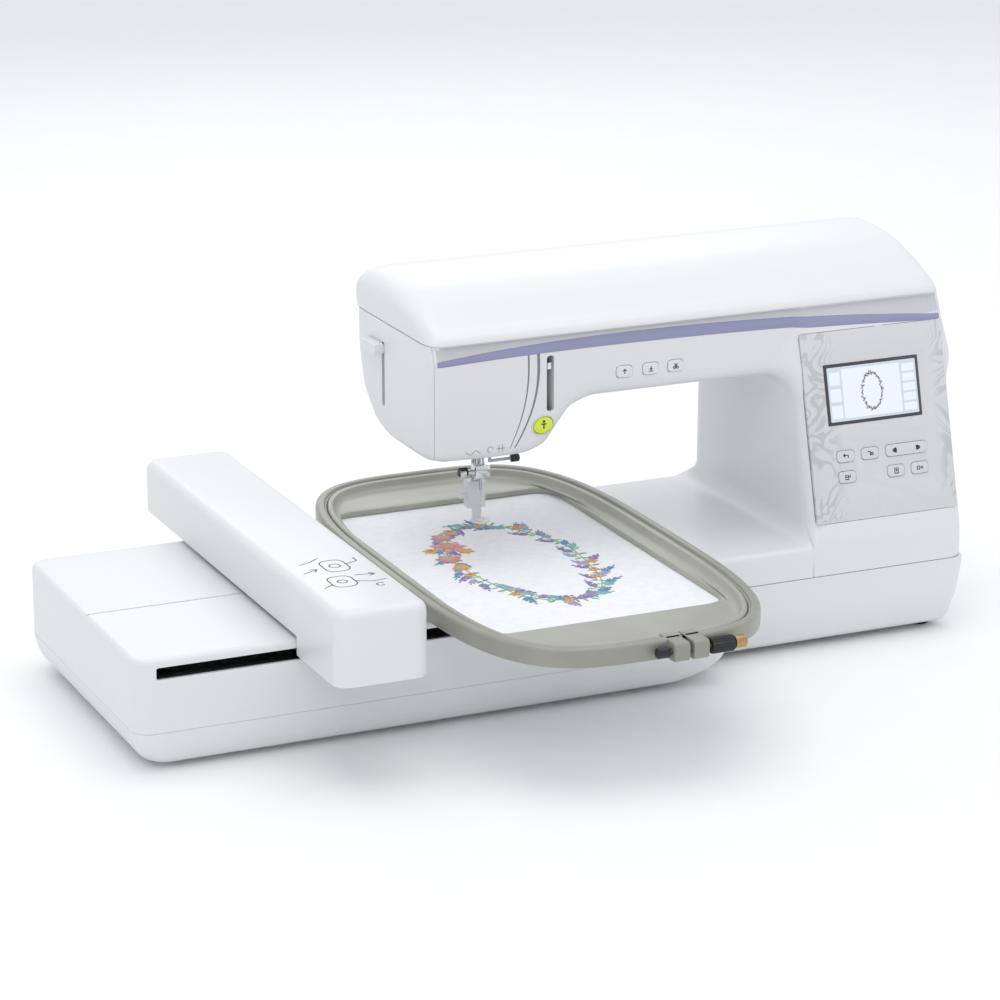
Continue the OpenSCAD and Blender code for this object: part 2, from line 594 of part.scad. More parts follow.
module embroidery_foot() color("whitesmoke") seat() difference() {
  union() {
    block([needle_x - 7, presser_y - 4.5, foot_sole + 9], [needle_x + 7, presser_y + 6, foot_sole + 30]);
    block([needle_x - 3, presser_y - 4.5, foot_sole], [needle_x + 3, presser_y - 1, foot_sole + 10]);
    translate([needle_x, needle_y, foot_sole]) cylinder(r = 7.5, h = 1.6);
    rod_x(needle_x - 13, needle_x - 6, presser_y, foot_sole + 19, 2.6);
  }
  rod_z(needle_x, needle_y, foot_sole - 1, foot_sole + 3, 3.5);
  rod_z(needle_x, presser_y, foot_sole + 16, foot_sole + 40, bar_r);
}
module presser_lever() color("gainsboro") seat() difference() {
  union() {
    rod_x(needle_x + 7.5, needle_x + 20.5, lever_axis[0], lever_axis[1], 5);
    along_x(needle_x + 8.5, needle_x + 18) polygon([
      [lever_axis[0] - 3, lever_axis[1] - 4], [lever_axis[0] + 12, lever_axis[1] - 13],
      [lever_axis[0] + 40, lever_axis[1] - 15], [lever_axis[0] + 42, lever_axis[1] - 11],
      [lever_axis[0] + 14, lever_axis[1] - 8], [lever_axis[0] + 3, lever_axis[1] + 4]]);
  }
  rod_x(needle_x, needle_x + 30, lever_axis[0], lever_axis[1], 2.5 + run_gap);
}
module take_up_lever() color("silver") seat() difference() {
  union() {
    rod_x(take_up_x - 2.5, take_up_x + 2.5, take_up_axis[0], take_up_axis[1], 5);
    along_x(take_up_x - 1.5, take_up_x + 1.5) polygon([
      [take_up_axis[0] - 2, take_up_axis[1] - 4], [take_up_axis[0] + 3, take_up_axis[1] + 3],
      [arm_front + 13, take_up_axis[1] + 14], [arm_front + 2, take_up_axis[1] + 15],
      [arm_front + 2, take_up_axis[1] + 10], [arm_front + 13, take_up_axis[1] + 8]]);
  }
  rod_x(take_up_x - 9, take_up_x + 9, take_up_axis[0], take_up_axis[1], 2.5 + run_gap);
  rod_x(take_up_x - 9, take_up_x + 9, arm_front + 6, take_up_axis[1] + 12, 1);
}
module threader_lever() color("whitesmoke") seat() {
  block([head_left - 12, threader_y + 0.5, lid_z - 25], [head_left - 4.3, threader_y + 29, lid_z - 17]);
  block([head_left - 4.4, threader_y + 0.5, lid_z - 24], [head_left + 3, threader_y + 4.5, lid_z - 18]);
  block([head_left + 0.4, threader_y - 4, lid_z - 26], [head_left + 3, threader_y + 9, lid_z - 16]);
}

// ---- Top ----

// Side outline of the lid as shares of its depth and height, from the back edge round to the front
lid_shape = [[1, 0], [0, 0], [0.01, 0.16], [0.06, 0.38], [0.17, 0.6], [0.32, 0.78], [0.5, 0.91],
             [0.7, 0.99], [0.82, 0.99], [0.92, 0.88], [0.98, 0.62], [1, 0.3]];
function lid_profile(i) = [
  for (p = lid_shape)
    [arm_front + 1 + i + p[0] * (lid_back - arm_front - 1 - 2 * i),
     lid_z - (p[1] > 0 ? 0 : i) + p[1] * (lid_h - i)]
];
module top_lid() color("whitesmoke") seat() {
  difference() {
    along_x(head_left - 3, case_right + side_t) polygon(lid_profile(0));
    along_x(head_left - 3 + case_wall, case_right + side_t - case_wall) polygon(lid_profile(case_wall));
    // notches over the hinge ears
    for (x = hinge_x) block([x - 1, lid_back - 6, lid_z - 1], [x + 45, lid_back + 3, lid_z + 6]);
  }
  for (x = hinge_x + [8.4, 8.4]) difference() {
    union() {
      rod_x(x, x + 27.2, hinge_pin[0], hinge_pin[1], 4);
      block([x, hinge_pin[0] - 4, hinge_pin[1]], [x + 27.2, hinge_pin[0] + 4, lid_z + 9]);
    }
    rod_x(x - 1, x + 29, hinge_pin[0], hinge_pin[1], pin_r + run_gap);
  }
}
module spool_pin() color("whitesmoke") seat() {
  block([spool_x, spool_y - 12, deck_z + 2], [spool_x + 10, spool_y + 12, deck_z + 20]);
  rod_x(spool_x + 9, spool_x + 88, spool_y, deck_z + 18, 2.5);
  rod_x(spool_x + 9, spool_x + 12, spool_y, deck_z + 18, 10);
  difference() {
    rod_x(spool_x + 76, spool_x + 80, spool_y, deck_z + 18, 12);
    rod_x(spool_x + 75, spool_x + 81, spool_y, deck_z + 18, 2.5);
  }
}
module bobbin_winder() color("whitesmoke") seat() {
  rod_z(winder_at[0], winder_at[1], deck_z - 6, deck_z + 22, winder_r);
  rod_z(winder_at[0], winder_at[1], deck_z + 2.2, deck_z + 5, 9);
}
module power_inlet() color([0.1, 0.1, 0.1]) seat() difference() {
  union() {
    block([case_right - 24, inlet_at[0] - 13.7, inlet_at[1] - 11.7],
          [case_right + side_t, inlet_at[0] + 13.7, inlet_at[1] + 11.7]);
    block([case_right + side_t - case_wall - 2, inlet_at[0] - 17, inlet_at[1] - 14],
          [case_right + side_t - case_wall, inlet_at[0] + 17, inlet_at[1] + 14]);
  }
  block([case_right - 14, inlet_at[0] - 10, inlet_at[1] - 8],
        [case_right + side_t + 1, inlet_at[0] + 10, inlet_at[1] + 8]);
}
module power_switch() color([0.1, 0.1, 0.1]) seat() difference() {
  union() {
    along_y(switch_at[1] - 9, switch_at[1] + 9)
      polygon([[switch_at[0] - 8, switch_at[2] - 4], [switch_at[0] + 3, switch_at[2] - 7],
        [switch_at[0] + 6.5, switch_at[2]], [switch_at[0] + 3, switch_at[2] + 7],
        [switch_at[0] - 8, switch_at[2] + 4]]);
    rod_y(switch_at[0], switch_at[1] - 16, switch_at[1] + 16, switch_at[2], 1.8);
  }
  block([switch_at[0] - 9, switch_at[1] - 10, switch_at[2] - 0.3],
        [switch_at[0] - 5, switch_at[1] + 10, switch_at[2] + 0.3]);
}

// ---- Embroidery unit ----

// The unit's plan, drawn in by i
module unit_plan(i) {
  round_rect([i, i], [unit_len - i, unit_depth - i], unit_corner - i / 4);
  round_rect([i, i], [strip_len - i, strip_depth - i], unit_corner - i / 4);
}
module unit_tray(i, z0) {
  hull() {
    translate([0, 0, seam_z]) linear_extrude(nothing)
      round_rect([i, i], [unit_len - i, unit_depth - i], unit_corner, $fn = 32);
    translate([0, 0, z0]) linear_extrude(nothing)
      round_rect([unit_taper + i, 6 + i], [unit_len - i, unit_depth - unit_taper - i], unit_corner, $fn = 32);
  }
  hull() {
    translate([0, 0, seam_z]) linear_extrude(nothing)
      round_rect([60, i], [strip_len - i, strip_depth - i], unit_corner, $fn = 32);
    translate([0, 0, z0]) linear_extrude(nothing)
      round_rect([60, 6 + i], [strip_len - 40 - i, strip_depth - i], unit_corner - 2, $fn = 32);
  }
}
module unit_base() color("whitesmoke") seat() difference() {
  unit_tray(0, foot_h);
  difference() {
    translate([0, 0, nothing]) unit_tray(unit_wall, foot_h - nothing);
    block([-1, -1, 0], [600, 300, foot_h + unit_wall]);
  }
  translate([0, 0, seam_z]) linear_extrude(1) unit_plan(unit_wall);
}
module unit_cover() color("whitesmoke") seat() difference() {
  translate([0, 0, seam_z + 2 * nothing]) linear_extrude(bed_z - seam_z - 2 * nothing) unit_plan(0);
  translate([0, 0, seam_z - 1]) linear_extrude(bed_z - seam_z - unit_wall + 1) unit_plan(unit_wall);
  block([slot_x0, -1, slot_z], [slot_x1, unit_wall + 1, slot_z + slot_h]);
  block([-1, 113, bed_z - 0.8], [128, 114.2, bed_z + 1]);
}
module unit_chassis() color("silver") seat() {
  difference() {
    block([22, 14, chassis_z], [unit_len - 4, 122, chassis_z + 2]);
    block([100, 40, chassis_z - 1], [200, 90, chassis_z + 3]);
  }
  for (x = [18, unit_len - 9]) difference() {
    block([x, 15, chassis_z + (x < 100 ? 2 : 0)], [x + 5, 68, rail_z + 7]);
    for (y = rail_y) rod_x(x - 1, x + 6, y, rail_z, rod_r);
  }
  block([18, 15, chassis_z + 1], [23, 68, chassis_z + 3]);
  for (y = rail_y) rod_x(18, unit_len - 4, y, rail_z, rod_r);
  block([18, 86, chassis_z + 1], [50, 118, rail_z - 16]);
}
module unit_drive() color([0.2, 0.2, 0.22]) seat() {
  block([18, 86, rail_z - 16], [50, 118, rail_z + 16]);
  rod_y(34, 74, 87, rail_z, 2.5);
  rod_y(34, 75, 82, rail_z, 7);
}

// ---- Carriage ----

module carriage_cover() color("whitesmoke") seat() difference() {
  union() {
    translate([0, 0, carriage_z]) linear_extrude(carriage_h)
      round_rect([carriage_x, -carriage_front], [carriage_x + carriage_w, carriage_back], 12);
    translate([0, 0, skirt_z]) linear_extrude(carriage_z - skirt_z + 1)
      round_rect([carriage_x, -carriage_front], [carriage_x + carriage_w, -1.5], 12);
  }
  translate([0, 0, skirt_z - 1]) linear_extrude(carriage_top - skirt_z - unit_wall + 1)
    round_rect([carriage_x + unit_wall, -carriage_front + unit_wall],
               [carriage_x + carriage_w - unit_wall, carriage_back - unit_wall], 10);
  block([carriage_x + carriage_w - unit_wall - 1, 2, arm_z - 1],
        [carriage_x + carriage_w + 1, carriage_back - 11, arm_z + arm_t + 1]);
}
module carriage_frame() color("silver") seat() difference() {
  union() {
    block([carriage_x + unit_wall + 0.3, 15 - carriage_front, carriage_z],
          [carriage_x + carriage_w - unit_wall - 0.3, carriage_back - 13, carriage_z + beam_t]);
    // posts of the guide rod
    for (y = [-14, carriage_back - 10])
      block([guide_x - 10, y, carriage_z + (y > 0 ? 0 : 1)], [guide_x + 10, y + 6, guide_z + 10]);
    block([guide_x - 10, carriage_back - 15, carriage_z],
          [guide_x + 10, carriage_back - 4, carriage_z + beam_t]);
    rod_y(guide_x, -14, carriage_back - 4, guide_z, rod_r);
    // bracket through the slot to the slider
    block([carriage_x + 20, -14, slot_z + 2], [carriage_x + 60, 66, slot_z + 7]);
    block([carriage_x + 20, -14, slot_z + 2], [carriage_x + 60, -8, carriage_z + 1]);
    block([carriage_x + 20, rail_y[0] - 10, rail_z - 9], [carriage_x + 60, rail_y[1] + 8, slot_z + 3]);
  }
  for (y = rail_y) rod_x(carriage_x + 19, carriage_x + 61, y, rail_z, rod_r + run_gap);
}
module carriage_drive() color([0.2, 0.2, 0.22]) seat() {
  motor_mid = 48 - carriage_front;
  block([carriage_x + 6, motor_mid - 16, carriage_z + beam_t],
        [carriage_x + 38, motor_mid + 16, carriage_z + beam_t + 32]);
  rod_x(carriage_x + 37, carriage_x + 52, motor_mid, carriage_z + beam_t + 16, 2.5);
  rod_x(carriage_x + 42, carriage_x + 50, motor_mid, carriage_z + beam_t + 16, 7);
}
module hoop_holder() color("whitesmoke") seat() difference() {
  union() {
    block([guide_x - 11, holder_y - block_half, arm_z], [guide_x + 11, holder_y + block_half, guide_z + 10]);
    block([guide_x, holder_y - holder_half, arm_z],
          [hoop_x - hoop_half_w + 0.5, holder_y + holder_half, arm_z + arm_t]);
  }
  rod_y(guide_x, holder_y - block_half - 1, holder_y + block_half + 1, guide_z, rod_r + run_gap);
}

// ---- Hoop ----

module hoop_place(z) translate([hoop_x, hoop_y, z]) children();
module hoop_outer() color([0.55, 0.55, 0.51]) seat() difference() {
  union() {
    hoop_place(hoop_z) linear_extrude(hoop_h) polygon(squared(hoop_half_w, hoop_half_len, hoop_power));
    block([hoop_x + 4, screw_y - screw_r, hoop_z], [hoop_x + 16, screw_y + 20, hoop_z + hoop_h]);
    block([hoop_x + 19, screw_y - screw_r, hoop_z], [hoop_x + 31, screw_y + 20, hoop_z + hoop_h]);
  }
  hoop_place(hoop_z - 1) linear_extrude(hoop_h + 2)
    polygon(squared(hoop_half_w - outer_wall, hoop_half_len - outer_wall, hoop_power));
  block([hoop_x + 16, screw_y - 10, hoop_z - 1], [hoop_x + 19, screw_y + 30, hoop_z + hoop_h + 1]);
  rod_x(hoop_x, hoop_x + 40, screw_y, hoop_z + hoop_h / 2, 2 + run_gap);
  block([hoop_x - hoop_half_w - 1, holder_y - holder_half - 0.3, arm_z - 0.3],
        [hoop_x - hoop_half_w + 4, holder_y + holder_half + 0.3, arm_z + arm_t + 0.3]);
}
module hoop_inner() color([0.62, 0.62, 0.58]) seat() difference() {
  union() {
    hoop_place(hoop_z + fabric_t) linear_extrude(5)
      polygon(squared(hoop_half_w - outer_wall - 0.3, hoop_half_len - outer_wall - 0.3, hoop_power));
    difference() {
      hoop_place(hoop_z + fabric_t) linear_extrude(hoop_h - fabric_t - 1)
        polygon(squared(hoop_half_w - outer_wall - 0.3, hoop_half_len - outer_wall - 0.3, hoop_power));
      hoop_place(hoop_z) linear_extrude(hoop_h + 1)
        polygon(squared(hoop_half_w - outer_wall - 5, hoop_half_len - outer_wall - 5, hoop_power));
    }
  }
  hoop_place(hoop_z - 1) translate([0, window_y, 0]) linear_extrude(hoop_h + 2)
    round_rect([-window_w / 2, -window_len / 2], [window_w / 2, window_len / 2], 18);
}
module hoop_fabric() color("white") seat()
  hoop_place(hoop_z) linear_extrude(fabric_t)
    polygon(squared(hoop_half_w - outer_wall - 1, hoop_half_len - outer_wall - 1, hoop_power));
module hoop_screw() color("lightgray") seat() {
  rod_x(hoop_x - 8, hoop_x + 62, screw_y, hoop_z + hoop_h / 2, 2);
  rod_x(hoop_x + 34, hoop_x + 58, screw_y, hoop_z + hoop_h / 2, screw_r);
  rod_x(hoop_x - 8, hoop_x + 2, screw_y, hoop_z + hoop_h / 2, 4);
}

base_pan();
rubber_feet();
casing_screws();
bed_cover();
needle_plate();
bobbin_cover();
front_cover();
rear_cover();
face_plate();
side_cover();
top_deck();
trim_band();
control_panel();
display_glass();
circuit_board();
main_frame();
shaft_bushes();
main_motor();
drive_belts();
bobbin_case();
spool_pin();
power_inlet();
unit_base();
unit_cover();
unit_chassis();
unit_drive();
upper_shaft();
handwheel();
lower_shaft();
rotary_hook();
bobbin();
needle_bar();
needle_clamp();
needle();
presser_bar();
embroidery_foot();
presser_lever();
take_up_lever();
threader_lever();
start_button();
arm_button(0);  // arm_button_1
arm_button(1);  // arm_button_2
arm_button(2);  // arm_button_3
panel_key(0);  // panel_key_1
panel_key(1);  // panel_key_2
panel_key(2);  // panel_key_3
panel_key(3);  // panel_key_4
panel_key(4);  // panel_key_5
arrow_key();
top_lid();
bobbin_winder();
power_switch();
carriage_cover();
carriage_frame();
carriage_drive();
hoop_holder();
hoop_outer();
hoop_inner();
hoop_fabric();
hoop_screw();
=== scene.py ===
"""Looks of the embroidery machine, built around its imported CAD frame.

Shapes are drawn in millimetres from the embroidery unit's front left corner on the table, like the CAD
source, and turned into metres in the frame's own place when a piece is made.
"""
import json
import math
import random

import bmesh
import bpy
import numpy as np
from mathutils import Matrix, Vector

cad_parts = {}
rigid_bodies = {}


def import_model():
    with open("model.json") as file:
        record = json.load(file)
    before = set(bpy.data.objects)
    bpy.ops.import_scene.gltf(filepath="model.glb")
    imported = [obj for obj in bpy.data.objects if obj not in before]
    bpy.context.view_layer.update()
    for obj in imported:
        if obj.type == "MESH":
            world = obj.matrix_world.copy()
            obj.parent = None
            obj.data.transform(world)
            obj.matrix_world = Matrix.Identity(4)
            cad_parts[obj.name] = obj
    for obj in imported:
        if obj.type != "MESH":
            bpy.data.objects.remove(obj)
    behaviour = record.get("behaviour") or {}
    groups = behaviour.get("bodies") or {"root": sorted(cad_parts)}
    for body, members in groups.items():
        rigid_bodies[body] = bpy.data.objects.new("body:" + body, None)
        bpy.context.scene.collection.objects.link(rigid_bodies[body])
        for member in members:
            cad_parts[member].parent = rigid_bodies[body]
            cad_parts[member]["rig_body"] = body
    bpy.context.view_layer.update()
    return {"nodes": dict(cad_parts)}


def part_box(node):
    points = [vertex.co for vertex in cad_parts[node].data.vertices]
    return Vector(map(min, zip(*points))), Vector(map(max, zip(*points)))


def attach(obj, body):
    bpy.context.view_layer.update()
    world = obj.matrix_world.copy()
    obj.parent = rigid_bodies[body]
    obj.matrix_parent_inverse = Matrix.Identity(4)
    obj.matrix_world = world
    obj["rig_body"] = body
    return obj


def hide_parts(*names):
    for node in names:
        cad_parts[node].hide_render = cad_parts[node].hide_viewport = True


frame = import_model()

MM = 0.001  # metres in a millimetre
UNIT_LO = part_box("unit_base")[0]
ORIGIN = np.array([UNIT_LO.x, UNIT_LO.y, 0.0])


def size_of(node):
    """Lowest and highest corner of a CAD node, in the drawing's millimetres."""
    lo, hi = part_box(node)
    return (np.array(lo) - ORIGIN) / MM, (np.array(hi) - ORIGIN) / MM


def world(points):
    return np.asarray(points, float) * MM + ORIGIN


# ---- Sizes taken from the frame ----

UNIT_C = size_of("unit_cover")[0]
BED_LO, BED_HI = size_of("bed_cover")
FACE_LO, FACE_HI = size_of("face_plate")
REAR_HI = size_of("rear_cover")[1]
SIDE_LO, SIDE_HI = size_of("side_cover")
LID_HI = size_of("top_lid")[1]
BASE_LO, BASE_HI = size_of("base_pan")
CARR_LO, CARR_HI = size_of("carriage_cover")
RING_LO, RING_HI = size_of("hoop_outer")
CLOTH_LO, CLOTH_HI = size_of("hoop_fabric")
NEEDLE_LO, NEEDLE_HI = size_of("needle")
DISPLAY_LO, DISPLAY_HI = size_of("display_glass")
START_LO, START_HI = size_of("start_button")
HOLDER_LO, HOLDER_HI = size_of("hoop_holder")

BED_Z = BED_HI[2]
CREASE_Z = BED_LO[2]
ARM_FRONT = FACE_LO[1]
ARM_BACK = FACE_HI[1]
HEAD_LEFT = FACE_LO[0]
HEAD_Z = FACE_LO[2]
LID_Z = FACE_HI[2]
LID_TOP = LID_HI[2]
PILLAR_LEFT = BED_HI[0]
RIGHT = SIDE_HI[0]
NEEDLE = (NEEDLE_LO + NEEDLE_HI) / 2
ARM_UNDER = HEAD_Z + 44
LEAN = math.radians(14.5)
PANEL = np.array([PILLAR_LEFT + 6, BED_LO[1] + 1 + 15 * math.tan(LEAN), BED_Z + 15])
PANEL_W, PANEL_H = SIDE_LO[0] - 3 - PANEL[0], LID_Z - BED_Z - 30
WALL = 2.4
SCREEN_MIDDLE = 98  # height of the screen's middle up the panel


def placed(name, data):
    """Puts a new object with this data in the scene."""
    obj = bpy.data.objects.new(name, data)
    bpy.context.scene.collection.objects.link(obj)
    return obj


def mesh_of(name, points, faces):
    """A mesh from points in millimetres."""
    mesh = bpy.data.meshes.new(name)
    mesh.from_pydata([tuple(p) for p in world(points)], [], faces)
    return mesh


# ---- Camera, light and floor ----


def camera():
    place = Vector((-1.085, -2.3295, 0.931))
    back = Vector((-0.3905, -0.8717, 0.2960))
    data = bpy.data.cameras.new("camera")
    data.lens, data.sensor_width = 128.7, 36.0
    obj = placed("camera", data)
    obj.location = place
    obj.rotation_euler = (-back).to_track_quat("-Z", "Y").to_euler()
    bpy.context.scene.camera = obj


def area_light(name, place, aim, size, power, colour=(1, 1, 1)):
    data = bpy.data.lights.new(name, "AREA")
    data.shape, data.size, data.size_y = "RECTANGLE", size[0], size[1]
    data.energy, data.color = power, colour
    obj = placed(name, data)
    obj.location = place
    obj.rotation_euler = (Vector(aim) - Vector(place)).to_track_quat("-Z", "Y").to_euler()


def studio():
    bpy.context.scene.view_settings.view_transform = "Standard"
    back = bpy.data.worlds.new("studio")
    bpy.context.scene.world = back
    back.use_nodes = True
    shade = back.node_tree.nodes["Background"]
    shade.inputs["Color"].default_value = (0.95, 0.97, 1.0, 1)
    shade.inputs["Strength"].default_value = 0.84
    area_light("key", (-1.2, -1.6, 2.0), (0, 0, 0.1), (1.6, 1.2), 7)
    area_light("top", (0.1, 0.2, 2.4), (0, 0, 0), (2.2, 1.6), 17)
    area_light("fill", (1.9, -1.5, 1.0), (0, 0, 0.15), (1.2, 1.2), 1)
    area_light("rim", (0.6, 2.2, 1.3), (0, 0, 0.2), (1.6, 0.8), 5)


def floor():
    mesh = bpy.data.meshes.new("floor")
    reach = 6.0
    mesh.from_pydata([(-reach, -reach, 0), (reach, -reach, 0), (reach, reach, 0), (-reach, reach, 0)],
                     [], [(0, 1, 2, 3)])
    obj = placed("floor", mesh)
    mesh.materials.append(plastic("floor", (0.93, 0.93, 0.93), 0.7, grain=0, mottle=0.004))


# ---- Materials ----


def nodes_of(name):
    """A new material, its node tree and its principled shader."""
    mat = bpy.data.materials.new(name)
    mat.use_nodes = True
    tree = mat.node_tree
    return mat, tree, tree.nodes["Principled BSDF"]


def added(tree, kind, feeds=None, **values):
    """A new shader node, with outputs fed into its inputs and values set. _ stands for a space in a name."""
    node = tree.nodes.new("ShaderNode" + kind)
    for name, value in values.items():
        node.inputs[name.replace("_", " ")].default_value = value
    for name, source in (feeds or {}).items():
        tree.links.new(source, node.inputs[name])
    return node


def combined(tree, operation, a, b):
    """The result of a two-sided operation, such as MULTIPLY."""
    node = added(tree, "Math", {0: a, 1: b})
    node.operation = operation
    return node.outputs[0]


def noise(tree, scale, detail=3.0, stretch=None):
    source = added(tree, "TexCoord").outputs["Object"]
    if stretch:
        source = added(tree, "Mapping", {"Vector": source}, Scale=stretch).outputs["Vector"]
    return added(tree, "TexNoise", {"Vector": source}, Scale=scale, Detail=detail).outputs["Fac"]


def spread(tree, value, low, high):
    """Stretches the middle of a noise's range to low and high."""
    node = added(tree, "MapRange", {"Value": value}, From_Min=0.3, From_Max=0.7, To_Min=low, To_Max=high)
    return node.outputs["Result"]


def tint(tree, value, first, second):
    node = tree.nodes.new("ShaderNodeMix")
    node.data_type = "RGBA"
    node.inputs[6].default_value = (*first, 1)
    node.inputs[7].default_value = (*second, 1)
    tree.links.new(value, node.inputs[0])
    return node.outputs[2]


def bump(tree, shade, height, strength, distance):
    node = added(tree, "Bump", {"Height": height}, Strength=strength, Distance=distance)
    tree.links.new(node.outputs["Normal"], shade.inputs["Normal"])


def plastic(name, colour, rough, grain=0.035, mottle=0.008, coat=0.0, clear=0.0, glow=0.0):
    """Moulded plastic: a little mottled, with fine spark-eroded grain and slightly uneven gloss."""
    mat, tree, shade = nodes_of(name)
    cloud = spread(tree, noise(tree, 22), 0, 1)
    darker = [c * (1 - mottle * 2) for c in colour]
    lighter = [min(1, c * (1 + mottle)) for c in colour]
    tree.links.new(tint(tree, cloud, darker, lighter), shade.inputs["Base Color"])
    tree.links.new(spread(tree, noise(tree, 60, 4), rough * 0.94, rough * 1.06), shade.inputs["Roughness"])
    if coat:
        shade.inputs["Coat Weight"].default_value = coat
        shade.inputs["Coat Roughness"].default_value = 0.12
    if clear:
        shade.inputs["Transmission Weight"].default_value = clear
    if glow:
        shade.inputs["Emission Color"].default_value = (*colour, 1)
        shade.inputs["Emission Strength"].default_value = glow
    if grain:
        bump(tree, shade, noise(tree, 700, 1), grain, 0.0001)
    return mat


def metal(name, colour, rough, brushed=(1, 1, 1), dirt=0.25):
    """Worked metal: brushing or casting grain and a duller film in patches."""
    mat, tree, shade = nodes_of(name)
    shade.inputs["Metallic"].default_value = 1.0
    patch = spread(tree, noise(tree, 70, 4), 0, 1)
    tree.links.new(tint(tree, patch, [c * (1 - dirt) for c in colour], colour), shade.inputs["Base Color"])
    lines = noise(tree, 900, 3, stretch=brushed)
    tree.links.new(spread(tree, lines, rough * 0.75, rough * 1.3), shade.inputs["Roughness"])
    bump(tree, shade, lines, 0.15, 0.0002)
    return mat


def cloth_material():
    """Plain white woven cotton, with the weave and a slight unevenness of its threads."""
    mat, tree, shade = nodes_of("fabric_white")
    place = added(tree, "TexCoord").outputs["Object"]
    weave = []
    for direction in ("X", "Y"):
        wave = added(tree, "TexWave", {"Vector": place}, Scale=420, Distortion=0.8, Detail=1)
        wave.bands_direction = direction
        weave.append(wave.outputs["Fac"])
    both = combined(tree, "MULTIPLY", *weave)
    slub = spread(tree, noise(tree, 160, 4), 0, 1)
    tree.links.new(tint(tree, slub, (0.86, 0.87, 0.9), (0.93, 0.935, 0.95)), shade.inputs["Base Color"])
    tree.links.new(spread(tree, both, 0.7, 0.9), shade.inputs["Roughness"])
    shade.inputs["Sheen Weight"].default_value = 0.25
    bump(tree, shade, both, 0.35, 0.0003)
    return mat


def thread_material(name, colour):
    """Rayon embroidery thread in satin stitch: fine ridges across the petal and a soft shine."""
    mat, tree, shade = nodes_of(name)
    uv = added(tree, "UVMap")
    uv.uv_map = "stitch"
    ridge = added(tree, "TexWave", {"Vector": uv.outputs["UV"]}, Scale=1.1, Distortion=0.6).outputs["Fac"]
    # The colour darkens to 0.72 in the troughs between the stitch ridges: painted shade
    tree.links.new(tint(tree, ridge, [c * 0.72 for c in colour], colour), shade.inputs["Base Color"])
    tree.links.new(spread(tree, ridge, 0.45, 0.3), shade.inputs["Roughness"])
    shade.inputs["Sheen Weight"].default_value = 0.3
    bump(tree, shade, ridge, 0.5, 0.0003)
    return mat


def panel_material():
    """Silver-grey panel with faint darker swirls under a satin lacquer."""
    mat, tree, shade = nodes_of("silver_panel")
    place = added(tree, "TexCoord").outputs["Object"]
    bend = added(tree, "TexNoise", {"Vector": place}, Scale=9)
    wave = added(tree, "TexWave", {"Vector": bend.outputs["Color"]},
                 Scale=9, Distortion=16, Detail=2, Detail_Scale=1.2)
    wave.wave_type = "RINGS"
    ramp = added(tree, "ValToRGB", {"Fac": wave.outputs["Fac"]})
    dark, light = ramp.color_ramp.elements
    dark.position, dark.color = 0.22, (0, 0, 0, 1)
    light.position, light.color = 0.42, (1, 1, 1, 1)
    split = added(tree, "SeparateXYZ", {"Vector": place})
    sides = []
    for ends in ((16, 30), (PANEL_W - 4, PANEL_W - 14)):
        near, far = [(PANEL[0] + u) * MM + ORIGIN[0] for u in ends]
        fade = added(tree, "MapRange", {"Value": split.outputs["X"]}, From_Min=near, From_Max=far)
        sides.append(fade.outputs["Result"])
    plain = combined(tree, "MULTIPLY", *sides)
    shown = combined(tree, "MAXIMUM", plain, ramp.outputs["Color"])
    tree.links.new(tint(tree, shown, (0.53, 0.55, 0.56), (0.66, 0.67, 0.68)),
                   shade.inputs["Base Color"])
    tree.links.new(spread(tree, noise(tree, 60, 4), 0.26, 0.36), shade.inputs["Roughness"])
    bump(tree, shade, noise(tree, 700, 1), 0.03, 0.0001)
    return mat


LOOKS = {
    "white_shell": plastic("white_shell", (0.76, 0.765, 0.77), 0.34, grain=0, mottle=0.002),
    "pale_shell": plastic("pale_shell", (0.73, 0.74, 0.75), 0.34, coat=0.15),
    "silver_panel": panel_material(),
    "key_grey": plastic("key_grey", (0.66, 0.67, 0.68), 0.38),
    "violet_trim": plastic("violet_trim", (0.27, 0.275, 0.44), 0.25, grain=0, coat=0.5),
    "black_plastic": plastic("black_plastic", (0.016, 0.016, 0.018), 0.4, mottle=0.1),
    "rubber_black": plastic("rubber_black", (0.022, 0.022, 0.022), 0.8, grain=0.3, mottle=0.15),
    "steel": metal("steel", (0.62, 0.63, 0.65), 0.3, brushed=(1, 12, 1)),
    "chrome_steel": metal("chrome_steel", (0.78, 0.79, 0.8), 0.14),
    "cast_alloy": metal("cast_alloy", (0.5, 0.51, 0.52), 0.5, dirt=0.3),
    "bronze": metal("bronze", (0.5, 0.33, 0.16), 0.35),
    "board_green": plastic("board_green", (0.02, 0.16, 0.07), 0.4, mottle=0.2),
    "screen_glass": plastic("screen_glass", (0.02, 0.022, 0.026), 0.08, grain=0, coat=1.0),
    "screen_lit": plastic("screen_lit", (0.58, 0.64, 0.70), 0.12, grain=0, coat=1.0, glow=0.16),
    "screen_pale": plastic("screen_pale", (0.74, 0.78, 0.82), 0.12, grain=0, coat=1.0, glow=0.2),
    "clear_smoke": plastic("clear_smoke", (0.62, 0.66, 0.7), 0.1, grain=0, clear=0.85),
    "start_green": plastic("start_green", (0.60, 0.74, 0.03), 0.25, coat=0.6, glow=0.12),
    "hoop_grey": plastic("hoop_grey", (0.31, 0.31, 0.265), 0.36, mottle=0.05, coat=0.2),
    "hoop_pale": plastic("hoop_pale", (0.38, 0.38, 0.33), 0.36, mottle=0.04, coat=0.2),
    "fabric_white": cloth_material(),
    "ink": plastic("ink", (0.035, 0.035, 0.04), 0.5, grain=0, mottle=0.1),
    # trim_grey colours the strip of painted shade between the stripe and the lid
    "trim_grey": plastic("trim_grey", (0.55, 0.56, 0.575), 0.34),
    # Grey for printing, and for the painted shade in the thread channels' grooves
    "ink_grey": plastic("ink_grey", (0.25, 0.26, 0.27), 0.5, grain=0, mottle=0.1),
}

# ---- Mesh tools ----


